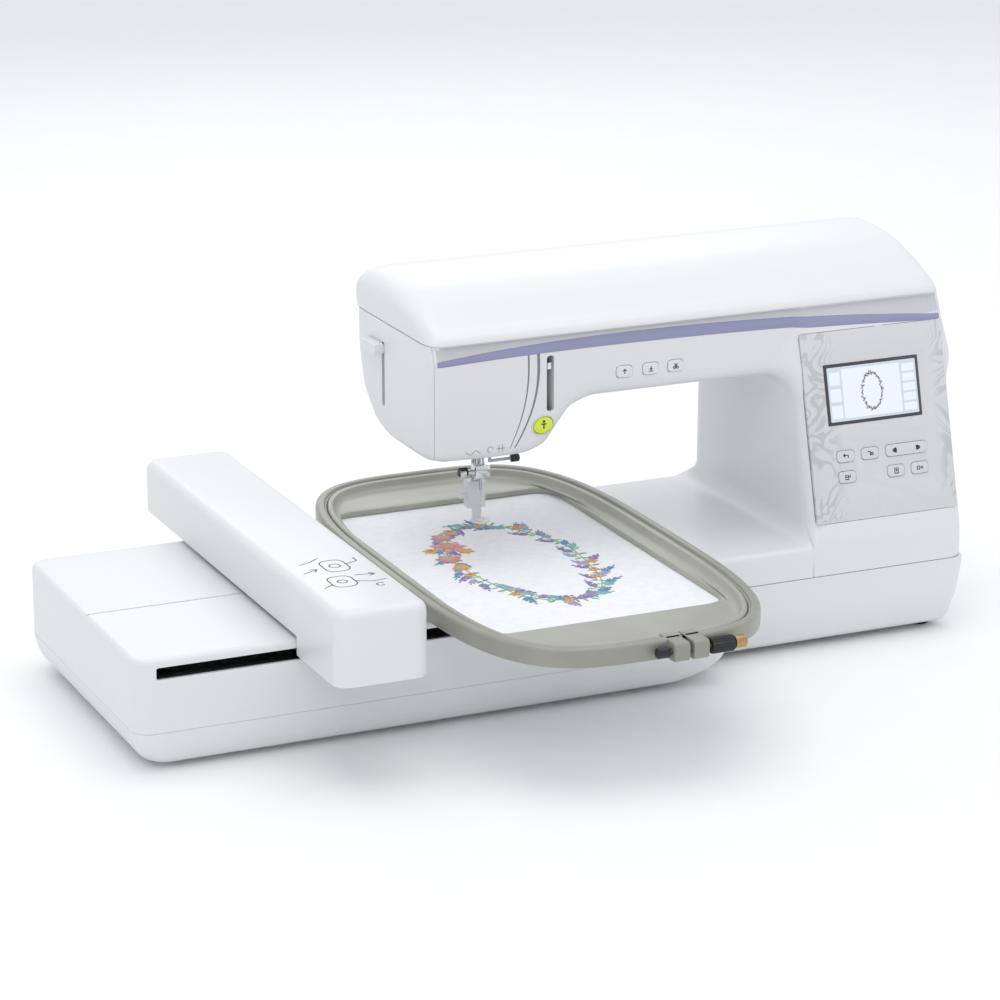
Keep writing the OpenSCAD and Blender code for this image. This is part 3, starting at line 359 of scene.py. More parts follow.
def piece(name, points, faces, look="white_shell", body="machine", slot=None, replaces=(), sharp=35):
    """Makes one object from points in millimetres, with its look in its one material slot. The slot argument
    is not used.
    """
    obj = placed(name, mesh_of(name, points, faces))
    return dress(obj, look, body, replaces, sharp)


def dress(obj, look, body, replaces=(), sharp=40):
    """Gives an object its look, and says what it rides on and which CAD nodes it stands for."""
    outward(obj.data)
    mesh = obj.data
    mesh.materials.clear()
    mesh.materials.append(LOOKS[look])
    mesh.shade_smooth()
    mesh.set_sharp_from_angle(angle=math.radians(sharp))
    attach(obj, body)
    if replaces:
        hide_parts(*replaces)
    return obj


def outward(mesh):
    """Turns a mesh's faces outwards."""
    tidy = bmesh.new()
    tidy.from_mesh(mesh)
    bmesh.ops.recalc_face_normals(tidy, faces=tidy.faces)
    tidy.to_mesh(mesh)
    tidy.free()


def bake(obj):
    """Applies an object's modifiers."""
    graph = bpy.context.evaluated_depsgraph_get()
    mesh = bpy.data.meshes.new_from_object(obj.evaluated_get(graph))
    obj.modifiers.clear()
    obj.data = mesh
    return obj


def cut(obj, cutter):
    """Takes a solid, its points in millimetres and its faces, out of an object."""
    points, faces = cutter
    mesh = mesh_of("cutter", points, faces)
    outward(mesh)
    other = placed("cutter", mesh)
    modifier = obj.modifiers.new("cut", "BOOLEAN")
    modifier.operation, modifier.solver, modifier.object = "DIFFERENCE", "EXACT", other
    bake(obj)
    bpy.data.objects.remove(other)
    return obj


def thicken(obj, wall=WALL):
    modifier = obj.modifiers.new("wall", "SOLIDIFY")
    modifier.thickness, modifier.offset = wall * MM, -1
    modifier.use_even_offset = True
    return bake(obj)


def trim(obj, planes):
    """Cuts an object off in front of each plane, given as a point and an outward normal."""
    cutting = bmesh.new()
    cutting.from_mesh(obj.data)
    for point, normal in planes:
        bmesh.ops.bisect_plane(cutting, geom=cutting.verts[:] + cutting.edges[:] + cutting.faces[:],
                               plane_co=world(point), plane_no=normal, clear_outer=True, dist=1e-7)
    cutting.to_mesh(obj.data)
    cutting.free()
    return obj


def arc_points(centre, r, a0, a1, steps):
    return [(centre[0] + r * math.cos(a0 + (a1 - a0) * i / steps),
             centre[1] + r * math.sin(a0 + (a1 - a0) * i / steps)) for i in range(steps + 1)]


def rounded(points, radii, inset=0.0, steps=8):
    """A closed outline, anticlockwise, drawn in by inset, with each corner rounded by its own radius."""
    n = len(points)
    radii = radii if hasattr(radii, "__len__") else [radii] * n
    lines = []
    for i in range(n):
        a, b = np.array(points[i], float), np.array(points[(i + 1) % n], float)
        along = (b - a) / np.linalg.norm(b - a)
        lines.append((a + inset * np.array([-along[1], along[0]]), along))
    out = []
    for i in range(n):
        (p, d), (q, e) = lines[i - 1], lines[i]
        cross = d[0] * e[1] - d[1] * e[0]
        corner = p + d * (((q - p)[0] * e[1] - (q - p)[1] * e[0]) / cross)
        turn = math.atan2(cross, d @ e)
        r = max(radii[i] - inset * math.copysign(1, turn), 0.2)
        back = r * math.tan(abs(turn) / 2)
        side = math.copysign(1, turn)
        centre = corner - d * back + side * r * np.array([-d[1], d[0]])
        start = math.atan2(-side * d[0], side * d[1])
        out += arc_points(centre, r, start, start + turn, steps)
    return np.array(out)


def rect(x0, y0, x1, y1):
    return [(x0, y0), (x1, y0), (x1, y1), (x0, y1)]


def rings(layers, cap=(True, True), closed=False):
    """Skins a stack of closed rings of equally many points. closed also joins the last ring to the first."""
    n = len(layers[0])
    points = np.concatenate(layers)
    faces = []
    last = len(layers) if closed else len(layers) - 1
    for k in range(last):
        a, b = k * n, (k + 1) % len(layers) * n
        faces += [(a + i, a + (i + 1) % n, b + (i + 1) % n, b + i) for i in range(n)]
    if not closed and cap[0]:
        faces.append(tuple(range(n))[::-1])
    if not closed and cap[1]:
        faces.append(tuple(range((len(layers) - 1) * n, len(layers) * n)))
    return points, faces


def edge_profile(z0, z1, top=0.0, bottom=0.0, steps=5):
    """Pairs of inset and height for a solid whose top and bottom edges are rounded."""
    rows = []
    for i in range(steps + 1 if bottom else 1):
        a = math.pi / 2 * i / steps
        rows.append((bottom * (1 - math.sin(a)), z0 + bottom * (1 - math.cos(a))))
    for i in range(steps + 1 if top else 1):
        a = math.pi / 2 * i / steps
        rows.append((top * (1 - math.cos(a)), z1 - top * (1 - math.sin(a))))
    return rows


def slab(outline, radii, z0, z1, top=0.0, bottom=0.0, cap=(True, True), steps=8):
    """A plate of that outline with rounded edges, as points and faces."""
    layers = []
    for inset, z in edge_profile(z0, z1, top, bottom):
        plan = rounded(outline, radii, inset, steps)
        layers.append(np.column_stack([plan, np.full(len(plan), z)]))
    return rings(layers, cap)


def turned(points, axes):
    """Puts points drawn in u, v, w along three other axes, such as 'xzy'."""
    out = np.empty_like(np.asarray(points, float))
    for k, axis in enumerate(axes):
        out[:, "xyz".index(axis)] = np.asarray(points)[:, k]
    return out


def on_panel(points):
    """Puts points drawn as u along the panel, v up it and w out of it in their place."""
    p = np.asarray(points, float)
    up = np.array([0, math.sin(LEAN), math.cos(LEAN)])
    out = np.array([0, -math.cos(LEAN), math.sin(LEAN)])
    return PANEL + p[:, :1] * np.array([1, 0, 0]) + p[:, 1:2] * up + p[:, 2:] * out


def lathe(profile, centre, axis="z", steps=48):
    """Turns pairs of radius and height round an axis through centre."""
    layers = []
    for r, h in profile:
        a = np.linspace(0, 2 * math.pi, steps, endpoint=False)
        ring = np.column_stack([r * np.cos(a), r * np.sin(a), np.full(steps, h)])
        layers.append(turned(ring, {"z": "xyz", "x": "yzx", "y": "zxy"}[axis]) + np.array(centre, float))
    return rings(layers)


def joined(*parts):
    """Several solids as one list of points and one of faces."""
    points, faces = [], []
    for p, f in parts:
        faces += [[i + len(points) for i in face] for face in f]
        points += [tuple(q) for q in p]
    return np.array(points), faces


def soften(node, look, slot, width=0.6, segments=2, sharp=30):
    """A copy of a CAD node with its edges rounded over, which stands for it."""
    source = frame["nodes"][node]
    mesh = source.data.copy()
    mesh.name = node + "_shape"
    clean = bmesh.new()
    clean.from_mesh(mesh)
    bmesh.ops.remove_doubles(clean, verts=clean.verts, dist=2e-6)
    bmesh.ops.dissolve_limit(clean, angle_limit=math.radians(1.5), verts=clean.verts, edges=clean.edges)
    clean.to_mesh(mesh)
    clean.free()
    obj = placed("soft_" + node, mesh)
    modifier = obj.modifiers.new("edges", "BEVEL")
    modifier.width, modifier.segments = width * MM, segments
    modifier.limit_method, modifier.angle_limit = "ANGLE", math.radians(sharp)
    modifier.use_clamp_overlap = True
    modifier.harden_normals = False
    bake(obj)
    return dress(obj, look, source["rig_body"], (node,), 50)


# ---- Distance fields, for the casing's blended forms ----


class Outline:
    """Signed distance to a closed outline, read from a table of one-millimetre cells."""

    def __init__(self, points, pad=40.0):
        points = np.asarray(points, float)
        self.lo = np.floor(points.min(0) - pad)
        count = np.ceil(points.max(0) + pad - self.lo).astype(int) + 1
        u, v = np.meshgrid(*[self.lo[k] + np.arange(count[k]) for k in (0, 1)], indexing="ij")
        best = np.full(u.shape, 1e9)
        inside = np.zeros(u.shape, bool)
        for a, b in zip(points, np.roll(points, -1, 0)):
            e = b - a
            if e @ e < 1e-9:
                continue
            t = np.clip(((u - a[0]) * e[0] + (v - a[1]) * e[1]) / (e @ e), 0, 1)
            best = np.minimum(best, (u - a[0] - t * e[0]) ** 2 + (v - a[1] - t * e[1]) ** 2)
            if a[1] != b[1]:
                crosses = (a[1] > v) != (b[1] > v)
                inside ^= crosses & (u < a[0] + e[0] * (v - a[1]) / e[1])
        self.table = np.sqrt(best) * np.where(inside, -1, 1)

    def __call__(self, u, v):
        top = np.array(self.table.shape) - 2
        x = np.clip(u - self.lo[0], 0, top[0] + 0.999)
        y = np.clip(v - self.lo[1], 0, top[1] + 0.999)
        i, j = x.astype(int), y.astype(int)
        s, t = x - i, y - j
        k = self.table
        return ((k[i, j] * (1 - s) + k[i + 1, j] * s) * (1 - t)
                + (k[i, j + 1] * (1 - s) + k[i + 1, j + 1] * s) * t)


def meet(a, b, k):
    """Intersection of two solids whose common edge is rounded over k."""
    h = np.maximum(k - np.abs(a - b), 0) / k
    return np.maximum(a, b) + h * h * k / 4


def blend(a, b, k):
    """Union of two solids with a fillet over k."""
    return -meet(-a, -b, k)


def skin(field, lo, hi, step):
    """Surface of a field where it is zero, with its points moved onto the surface itself."""
    axes = [np.arange(lo[k] - step, hi[k] + 2 * step, step) for k in range(3)]
    grid = np.meshgrid(*axes, indexing="ij")
    value = field(*grid)
    shape = np.array(value.shape) - 1
    total = np.zeros((*shape, 3))
    count = np.zeros(shape)
    sign = value < 0
    corners = [(i, j, k) for i in (0, 1) for j in (0, 1) for k in (0, 1)]
    quads = []
    for axis in range(3):
        step_to = np.eye(3, dtype=int)[axis]
        for c in corners:
            if c[axis]:
                continue
            d = np.array(c) + step_to
            a = value[tuple(slice(c[k], c[k] + shape[k]) for k in range(3))]
            b = value[tuple(slice(d[k], d[k] + shape[k]) for k in range(3))]
            cross = (a < 0) != (b < 0)
            t = np.where(cross, a / np.where(cross, a - b, 1), 0)
            for k in range(3):
                total[..., k] += cross * (c[k] + t * step_to[k])
            count += cross
    used = count > 0
    number = -np.ones(shape, int)
    number[used] = np.arange(used.sum())
    base = np.argwhere(used)
    points = np.array([axes[k][0] for k in range(3)]) + step * (base + total[used] / count[used][:, None])
    for axis in range(3):
        others = [k for k in range(3) if k != axis]
        d = np.eye(3, dtype=int)[axis]
        first = sign[tuple(slice(1, shape[k]) if k != axis else slice(0, shape[k]) for k in range(3))]
        second = sign[tuple(slice(1, shape[k]) if k != axis else slice(1, shape[k] + 1) for k in range(3))]
        spots = np.argwhere(first != second)
        flip = first[tuple(spots.T)]
        spots = spots + np.array([1 if k != axis else 0 for k in range(3)])
        e, f = np.eye(3, dtype=int)[others[0]], np.eye(3, dtype=int)[others[1]]
        loop = [number[tuple((spots - o).T)] for o in (e + f, f, 0 * e, e)]
        quad = np.stack(loop, 1)
        turn = flip if axis != 1 else ~flip
        quad[~turn] = quad[~turn][:, ::-1]
        quads.append(quad)
    for _ in range(3):
        gap = 0.05
        here = field(*points.T)
        slope = np.stack([(field(*(points + gap * e).T) - field(*(points - gap * e).T)) / (2 * gap)
                          for e in np.eye(3)], 1)
        steep = np.maximum((slope ** 2).sum(1), 0.2)
        points = points - np.clip(here / steep, -step, step)[:, None] * slope
    return points, [tuple(map(int, q)) for q in np.concatenate(quads)]


# Outline of the head and arm seen from the front, with the lid's rounded ends
ARM_OUTLINE = Outline(rounded(
    [(HEAD_LEFT, LID_TOP + 0.5), (HEAD_LEFT, HEAD_Z + 8), (HEAD_LEFT + 14, HEAD_Z + 2),
     (NEEDLE[0] - 14, HEAD_Z - 0.5), (NEEDLE[0] + 10, HEAD_Z + 1), (NEEDLE[0] + 24, HEAD_Z + 13),
     (NEEDLE[0] + 43, ARM_UNDER - 6), (NEEDLE[0] + 60, ARM_UNDER), (RIGHT, ARM_UNDER),
     (RIGHT, LID_TOP + 0.5)],
    [26, 7, 8, 30, 12, 30, 16, 30, 1, 9]))
LID_BACK = LID_HI[1]
LID_FRONT = ARM_FRONT + 1
DOME = [(ARM_BACK + 1, LID_Z - 12), (LID_BACK, LID_Z + 14), (LID_BACK - 8, LID_TOP - 9),
        (LID_BACK - 30, LID_TOP),
        (LID_BACK - 52, LID_TOP - 0.5), (LID_FRONT + 68, LID_TOP - 6), (LID_FRONT + 34, LID_TOP - 16.5),
        (LID_FRONT + 10, LID_TOP - 27), (LID_FRONT, LID_Z + 3), (LID_FRONT, LID_Z - 12)]
LID_PROFILE = Outline(rounded(DOME, [1, 24, 24, 60, 60, 120, 120, 30, 8, 1]))
HEAD_PROFILE = Outline(rounded(
    [(ARM_FRONT, LID_Z - 11), (ARM_FRONT, HEAD_Z + 10), (ARM_FRONT + 12, HEAD_Z + 1),
     (ARM_FRONT + 40, HEAD_Z - 0.5), (NEEDLE[1] + 6, HEAD_Z), (NEEDLE[1] + 40, HEAD_Z + 12),
     (ARM_BACK - 10, HEAD_Z + 33), (ARM_BACK, HEAD_Z + 66), (ARM_BACK, LID_Z + 12),
     (ARM_FRONT + 4.5, LID_Z + 12), (ARM_FRONT + 4.5, LID_Z - 1)],
    [5, 8, 12, 60, 40, 40, 34, 50, 1, 1, 2]))


def front_at(z):
    """Depth of the leaning pillar's front at height z."""
    return BED_LO[1] + 1 + (z - BED_Z) * math.tan(LEAN)


PILLAR_PROFILE = Outline(rounded(
    [(BED_LO[1], CREASE_Z - 20), (REAR_HI[1], CREASE_Z - 20), (REAR_HI[1], CREASE_Z),
     (ARM_BACK + 11, LID_Z - 60), (ARM_BACK + 4, LID_Z + 12), (ARM_FRONT + 4.5, LID_Z + 12),
     (ARM_FRONT + 4.5, LID_Z - 1),
     (front_at(LID_Z - 14), LID_Z - 14), (front_at(BED_Z), BED_Z), (BED_LO[1], CREASE_Z)],
    [1, 1, 30, 60, 1, 1, 2, 12, 40, 4]))


def arm_field(x, y, z):
    return meet(ARM_OUTLINE(x, z), HEAD_PROFILE(y, z), 13)


def pillar_field(x, y, z):
    sides = np.maximum(PILLAR_LEFT - x, meet(x - RIGHT, z - 900, 1))
    edge = np.where(x < PILLAR_LEFT + 40, np.interp(z, [BED_Z - 4, BED_Z + 14], [1, 18]), 18)
    return meet(PILLAR_PROFILE(y, z), sides, edge)


def casing_field(x, y, z):
    fillet = np.interp(z, [ARM_UNDER + 5, LID_Z - 17], [22, 3])
    return blend(arm_field(x, y, z), pillar_field(x, y, z), fillet)


def lid_field(x, y, z):
    return meet(ARM_OUTLINE(x, z), LID_PROFILE(y, z), 16)


BED_PROFILE = Outline(rounded(
    [(BED_LO[1], CREASE_Z - 20), (BED_HI[1], CREASE_Z - 20), (BED_HI[1], BED_Z), (BED_LO[1], BED_Z)],
    [1, 1, 5, 4]))


def bed_field(x, y, z):
    block = np.maximum(BED_PROFILE(y, z), BED_LO[0] - x)
    above = np.interp(z, [BED_Z - 8, BED_Z - 1], [0, 1])
    behind = np.interp(y, [BED_LO[1] + 2, BED_LO[1] + 14], [0, 1])
    fillet = 1 + 15 * above * behind
    return blend(block, pillar_field(x, y, z), fillet)


BASE_PROFILE = Outline(rounded(
    [(BASE_LO[1], CREASE_Z + 20), (BASE_LO[1], BASE_LO[2] + 26), (BASE_LO[1] + 8, BASE_LO[2]),
     (BASE_HI[1] - 10, BASE_LO[2]), (BASE_HI[1], BASE_LO[2] + 14), (BASE_HI[1], CREASE_Z + 20)],
    [1, 40, 8, 8, 14, 1]))


def base_field(x, y, z):
    taper = 0.17 * np.maximum(CREASE_Z - 6 - z, 0)
    return meet(BASE_PROFILE(y, z), np.maximum(x - BASE_HI[0] + taper, BASE_LO[0] - x), 12)


def front_depth(x, z):
    """Depth of the casing's front surface at x and z, found by halving."""
    x, z = np.asarray(x, float), np.asarray(z, float)
    near, far = np.full(x.shape, BED_LO[1] - 5.0), np.full(x.shape, NEEDLE[1])
    for _ in range(24):
        middle = (near + far) / 2
        inside = casing_field(x, middle, z) < 0
        far, near = np.where(inside, middle, far), np.where(inside, near, middle)
    return far


def moulding(obj, node, cutters=(), body="machine"):
    """Gives an open skin its wall, cuts it and lets it stand for its node."""
    thicken(obj)
    for cutter in cutters:
        cut(obj, cutter)
    return dress(obj, "white_shell", body, [node])


def casing_part(name, node, field, lo, hi, planes, cutters=(), step=2.5, body="machine"):
    """One moulding of the casing: the field's skin inside a box, trimmed at planes."""
    points, faces = skin(field, lo, hi, step)
    obj = placed(name, mesh_of(name, points, faces))
    return moulding(trim(obj, planes), node, cutters, body)


def box_solid(lo, hi, r=1.5, axes="xyz"):
    """A block with round corners, its outline drawn along the first two axes."""
    k = ["xyz".index(a) for a in axes]
    outline = rect(lo[k[0]], lo[k[1]], hi[k[0]], hi[k[1]])
    points, faces = slab(outline, r, lo[k[2]], hi[k[2]], steps=4)
    return turned(points, axes), faces


def rod(r, lo, hi, centre, axis):
    return lathe([(r, lo), (r, hi)], centre, axis, 40)


SEAM = 0.1  # clearance left at the edge of a moulding
HINGE_X = (NEEDLE[0] - 17, PILLAR_LEFT - 62)
HINGE = np.array([0, ARM_BACK + 6.5, LID_Z - 4])
KEYS = [size_of(f"arm_button_{k}") for k in (1, 2, 3)]


def front_cutters():
    holes = []
    for lo, hi in KEYS:
        holes.append(box_solid(lo - [0.4, 3, 0.4], hi + [0.4, 0, 0.4], 3.2, "xzy"))
    start = (START_LO + START_HI) / 2
    points, faces = rod(START_HI[0] - start[0] + 0.5, -6, 6, (start[0], ARM_FRONT, start[2]), "y")
    holes.append((start_oval(points), faces))
    lever = size_of("take_up_lever")
    holes.append(box_solid([lever[0][0] - 0.5, ARM_FRONT - 3, LID_Z - 58],
                           [lever[1][0] + 0.5, ARM_FRONT + 12, LID_Z - 15], 2.5, "xzy"))
    points, faces = slab(rect(-0.3, -0.3, PANEL_W + 0.3, PANEL_H + 0.3), 4, -5, 5)
    holes.append((on_panel(points), faces))
    for band in channel_bands():
        points, faces = rings([np.column_stack([band, np.full(len(band), z)])
                               for z in (ARM_FRONT - 3, ARM_FRONT + 1.2)])
        holes.append((turned(points, "xzy"), faces))
    return holes


def start_oval(points):
    """Draws the round start button out into a leaning oval."""
    middle = (START_LO + START_HI) / 2
    p = np.asarray(points, float) - middle
    lean = math.radians(16)
    c, s = math.cos(lean), math.sin(lean)
    along, across = p[:, 0] * c + p[:, 2] * s, (p[:, 2] * c - p[:, 0] * s) * 0.76
    return np.column_stack([along * c - across * s, p[:, 1], along * s + across * c]) + middle


def head_hole():
    return rod(10.6, -14, 12, (NEEDLE[0], NEEDLE[1] + 3, HEAD_Z), "z")


def channel_line(x0, x1, sag, width):
    """The band of one thread channel on the head's front, from its top down to its foot."""
    t = np.linspace(0, 1, 15)
    top, foot = LID_Z - 11.5, HEAD_Z + 13
    x = x0 + (x1 - x0) * t ** 2.2 + sag * np.sin(math.pi * t)
    z = top + (foot - top) * t
    half = width / 2 * (1 - 0.5 * t)
    left, right = np.column_stack([x - half, z]), np.column_stack([x + half, z])
    return np.concatenate([left, right[::-1]])


def channel_bands():
    return [channel_line(NEEDLE[0] + 6, NEEDLE[0] - 9, 1.2, 1.6),
            channel_line(NEEDLE[0] + 14, NEEDLE[0] - 5, 1.6, 2.6)]


def machine_shell():
    low, high = [FACE_LO[0], BED_LO[1] - 2, CREASE_Z - 6], [RIGHT, REAR_HI[1] + 2, LID_Z + 4]
    top = ((0, 0, LID_Z - 0.3), (0, 0, 1))
    crease = ((0, 0, CREASE_Z + 0.3), (0, 0, -1))
    left = ((FACE_HI[0] + SEAM, 0, 0), (-1, 0, 0))
    right = ((SIDE_LO[0] - SEAM, 0, 0), (1, 0, 0))
    middle = NEEDLE[1]
    casing_part("front_casing", "front_cover", casing_field, low, [high[0], middle, high[2]],
                [top, crease, left, right, ((0, middle - SEAM / 2, 0), (0, 1, 0))],
                front_cutters() + [head_hole()])
    slot = size_of("presser_lever")
    lever_slot = box_solid([slot[0][0] - 2, NEEDLE[1] + 36, HEAD_Z - 6],
                           [slot[1][0] + 2, ARM_BACK + 5, HEAD_Z + 40], 2, "yzx")
    casing_part("rear_casing", "rear_cover", casing_field, [low[0], middle, low[2]], high,
                [top, crease, left, right, ((0, middle + SEAM / 2, 0), (0, -1, 0))],
                [head_hole(), lever_slot])
    knob = size_of("threader_lever")
    slit = box_solid([HEAD_LEFT - 4, knob[0][1] + 4, LID_Z - 66],
                     [HEAD_LEFT + 8, knob[0][1] + 9.5, LID_Z - 16], 2.2, "yzx")
    casing_part("end_plate", "face_plate", casing_field, low, [FACE_HI[0] + 6, high[1], high[2]],
                [top, ((FACE_HI[0] - SEAM, 0, 0), (1, 0, 0))], [slit], step=2.0)
    wheel = size_of("handwheel")
    hub = rod(9, -8, 8, (RIGHT, NEEDLE[1], (wheel[0][2] + wheel[1][2]) / 2), "x")
    casing_part("end_cover", "side_cover", casing_field, [SIDE_LO[0] - 6, low[1], low[2]], high,
                [top, crease, ((SIDE_LO[0] + SEAM, 0, 0), (-1, 0, 0))], [hub])
    notches = [box_solid([x - 1, LID_BACK - 7, LID_Z - 3], [x + 45, LID_BACK + 5, LID_Z + 6], 1)
               for x in HINGE_X]
    casing_part("dome_lid", "top_lid", lid_field, [FACE_LO[0], LID_FRONT - 2, LID_Z - 4],
                [RIGHT, LID_BACK + 2, LID_TOP + 2], [((0, 0, LID_Z + 0.3), (0, 0, -1))], notches, body="lid")
    plate = size_of("needle_plate")
    pocket = box_solid(plate[0] - [0.25, 0.25, 0.05], plate[1] + [0.25, 0.25, 20], 5)
    well = box_solid(plate[0] + [4, 4, -9], plate[1] + [-4, -4, 9], 5)
    casing_part("bed_shell", "bed_cover", bed_field, [BED_LO[0] - 2, BED_LO[1] - 2, CREASE_Z - 5],
                [BED_HI[0], BED_HI[1] + 2, BED_Z + 24],
                [crease, ((PILLAR_LEFT - 0.1, 0, 0), (1, 0, 0))], [pocket, well])
    inlet, switch = size_of("power_inlet"), size_of("power_switch")
    sockets = [box_solid([RIGHT - 6, inlet[0][1] + 3, inlet[0][2] + 2],
                         [RIGHT + 6, inlet[1][1] - 3, inlet[1][2] - 2], 2, "yzx"),
               box_solid([RIGHT - 6, switch[0][1] + 3, switch[0][2] - 3],
                         [RIGHT + 6, switch[1][1] - 3, switch[1][2] + 3], 2, "yzx")]
    casing_part("base_shell", "base_pan", base_field, [BASE_LO[0] - 2, BASE_LO[1] - 2, BASE_LO[2] - 2],
                [RIGHT + 2, BASE_HI[1] + 2, CREASE_Z + 4], [((0, 0, CREASE_Z - 0.3), (0, 0, 1))], sockets)


def hinges():
    """The lid's hinge ears and pins on the casing, and its knuckles."""
    ears, knuckles = [], []
    for x in HINGE_X:
        for ear in (x, x + 36):
            ears.append(box_solid([ear, ARM_BACK - 1, HINGE[2] - 5],
                                  [ear + 8, HINGE[1] + 5, HINGE[2] + 3.4], 3, "yzx"))
        ears.append(rod(2, x + 7, x + 37, HINGE, "x"))
        layers = lathe([(2.1, x + 8.4), (4, x + 8.4), (4, x + 35.6), (2.1, x + 35.6)], HINGE, "x", 32)[0]
        knuckles.append(rings(np.split(layers, 4), closed=True))
        knuckles.append(box_solid([x + 8.4, HINGE[1] - 5.5, HINGE[2] + 3.2],
                                  [x + 35.6, HINGE[1] - 1.5, LID_Z + 9], 1, "yzx"))
    piece("hinge_ears", *joined(*ears))
    piece("lid_knuckles", *joined(*knuckles), "white_shell", "lid", "white_shell")


# ---- Embroidery unit and carriage ----

UNIT_X, UNIT_Y = size_of("unit_cover")[1][:2]
BLOCK_X = BED_LO[0] - 0.5
STRIP_Y = BED_LO[1] - 0.5


def unit_plan(left=0.0, front=0.0, back=0.0, right=0.0):
    """The unit's plan, drawn in at its left, front and back sides and at its strip's end."""
    return [(left, front), (UNIT_X - right, front), (UNIT_X - right, STRIP_Y), (BLOCK_X, STRIP_Y),
            (BLOCK_X, UNIT_Y - back), (left, UNIT_Y - back)]


PLAN_RADII = [14, 14, 12, 2, 10, 14]


def unit():
    seam, gap = UNIT_C[2], 0.12
    slot = box_solid([16, -3, BED_Z - 15], [BLOCK_X - 8, 6, BED_Z - 6], 1.6, "xzy")
    groove = box_solid([-4, 112.7, BED_Z - 1.7], [CARR_LO[0] + 7.5, 114.5, BED_Z + 2], 0.3)
    top = piece("unit_top", *slab(unit_plan(), PLAN_RADII, seam + gap, BED_Z, top=4.5, cap=(False, True)))
    moulding(top, "unit_cover", [slot, groove])
    layers = []
    for share, drop in ((0, gap), (0.04, 5), (0.14, 11), (0.35, 17), (0.66, 22), (0.85, 24), (1, 25)):
        plan = rounded(unit_plan(14 * share, 7 * share, 14 * share, 40 * share), PLAN_RADII)
        layers.append(np.column_stack([plan, np.full(len(plan), seam - drop)]))
    moulding(piece("unit_tray", *rings(layers[::-1], cap=(True, False))), "unit_base")


def carriage():
    lo, hi = CARR_LO, CARR_HI
    outline = rect(lo[0], lo[1], hi[0], hi[1])
    under = box_solid([lo[0] - 9, -1.5, lo[2] - 9], [hi[0] + 9, hi[1] + 9, BED_Z + 3.5], 1)
    side = box_solid([hi[0] - 6, 2, HOLDER_LO[2] - 1], [hi[0] + 6, hi[1] - 11, HOLDER_LO[2] + 5.5],
                     1.4, "yzx")
    block = piece("carriage_shell", *slab(outline, 12, lo[2], hi[2], top=8, cap=(False, True), steps=10))
    moulding(block, "carriage_cover", [under, side], "carriage")


# ---- Hoop, fabric and embroidery ----

RING_W, RING_REACH = 238, 224.5  # the outer frame's width, and how far it reaches back from its middle
WINDOW_W, WINDOW_L, WINDOW_BACK = 190, 309, 11.5  # the window, and how far its middle lies behind the frame's
RING_X, RING_Y = (RING_LO[0] + RING_HI[0]) / 2, RING_HI[1] - (RING_HI[0] - RING_LO[0]) * RING_REACH / RING_W
WINDOW_Y = RING_Y + WINDOW_BACK
HALF_W, HALF_L = (RING_HI[0] - RING_LO[0]) / 2, RING_HI[1] - RING_Y
POWER = 3.6  # 2 would make the frames ellipses, and a higher power squares them
WINDOW = rect(RING_X - WINDOW_W / 2, WINDOW_Y - WINDOW_L / 2, RING_X + WINDOW_W / 2, WINDOW_Y + WINDOW_L / 2)
AROUND = 240  # points round a frame


def oval(inset, z):
    """The frames' squared oval at height z, drawn in by inset along its own normals."""
    a = np.linspace(0, 2 * math.pi, AROUND, endpoint=False)
    c, s = np.cos(a), np.sin(a)
    x = HALF_W * np.sign(c) * np.abs(c) ** (2 / POWER)
    y = HALF_L * np.sign(s) * np.abs(s) ** (2 / POWER)
    nx = np.sign(x) * np.abs(x / HALF_W) ** (POWER - 1) / HALF_W
    ny = np.sign(y) * np.abs(y / HALF_L) ** (POWER - 1) / HALF_L
    length = np.hypot(nx, ny)
    return np.column_stack([RING_X + x - inset * nx / length, RING_Y + y - inset * ny / length,
                            np.full(AROUND, z)])


def window(z, grow=0.0):
    """The inner frame's window at height z, with its points in the same directions as the oval's."""
    edge = rounded(WINDOW, 18, -grow, 12)
    middle = np.mean(WINDOW, 0)
    steps = np.linspace(0, 1, 24, endpoint=False)
    dense = np.concatenate([edge + (np.roll(edge, -1, 0) - edge) * t for t in steps])
    angle = np.arctan2(*(dense - middle).T[::-1])
    order = np.argsort(angle)
    aim = np.arctan2(*(oval(0, 0)[:, :2] - middle).T[::-1])
    x, y = [np.interp(aim, angle[order], dense[order, k], period=2 * math.pi) for k in (0, 1)]
    return np.column_stack([x, y, np.full(AROUND, z)])


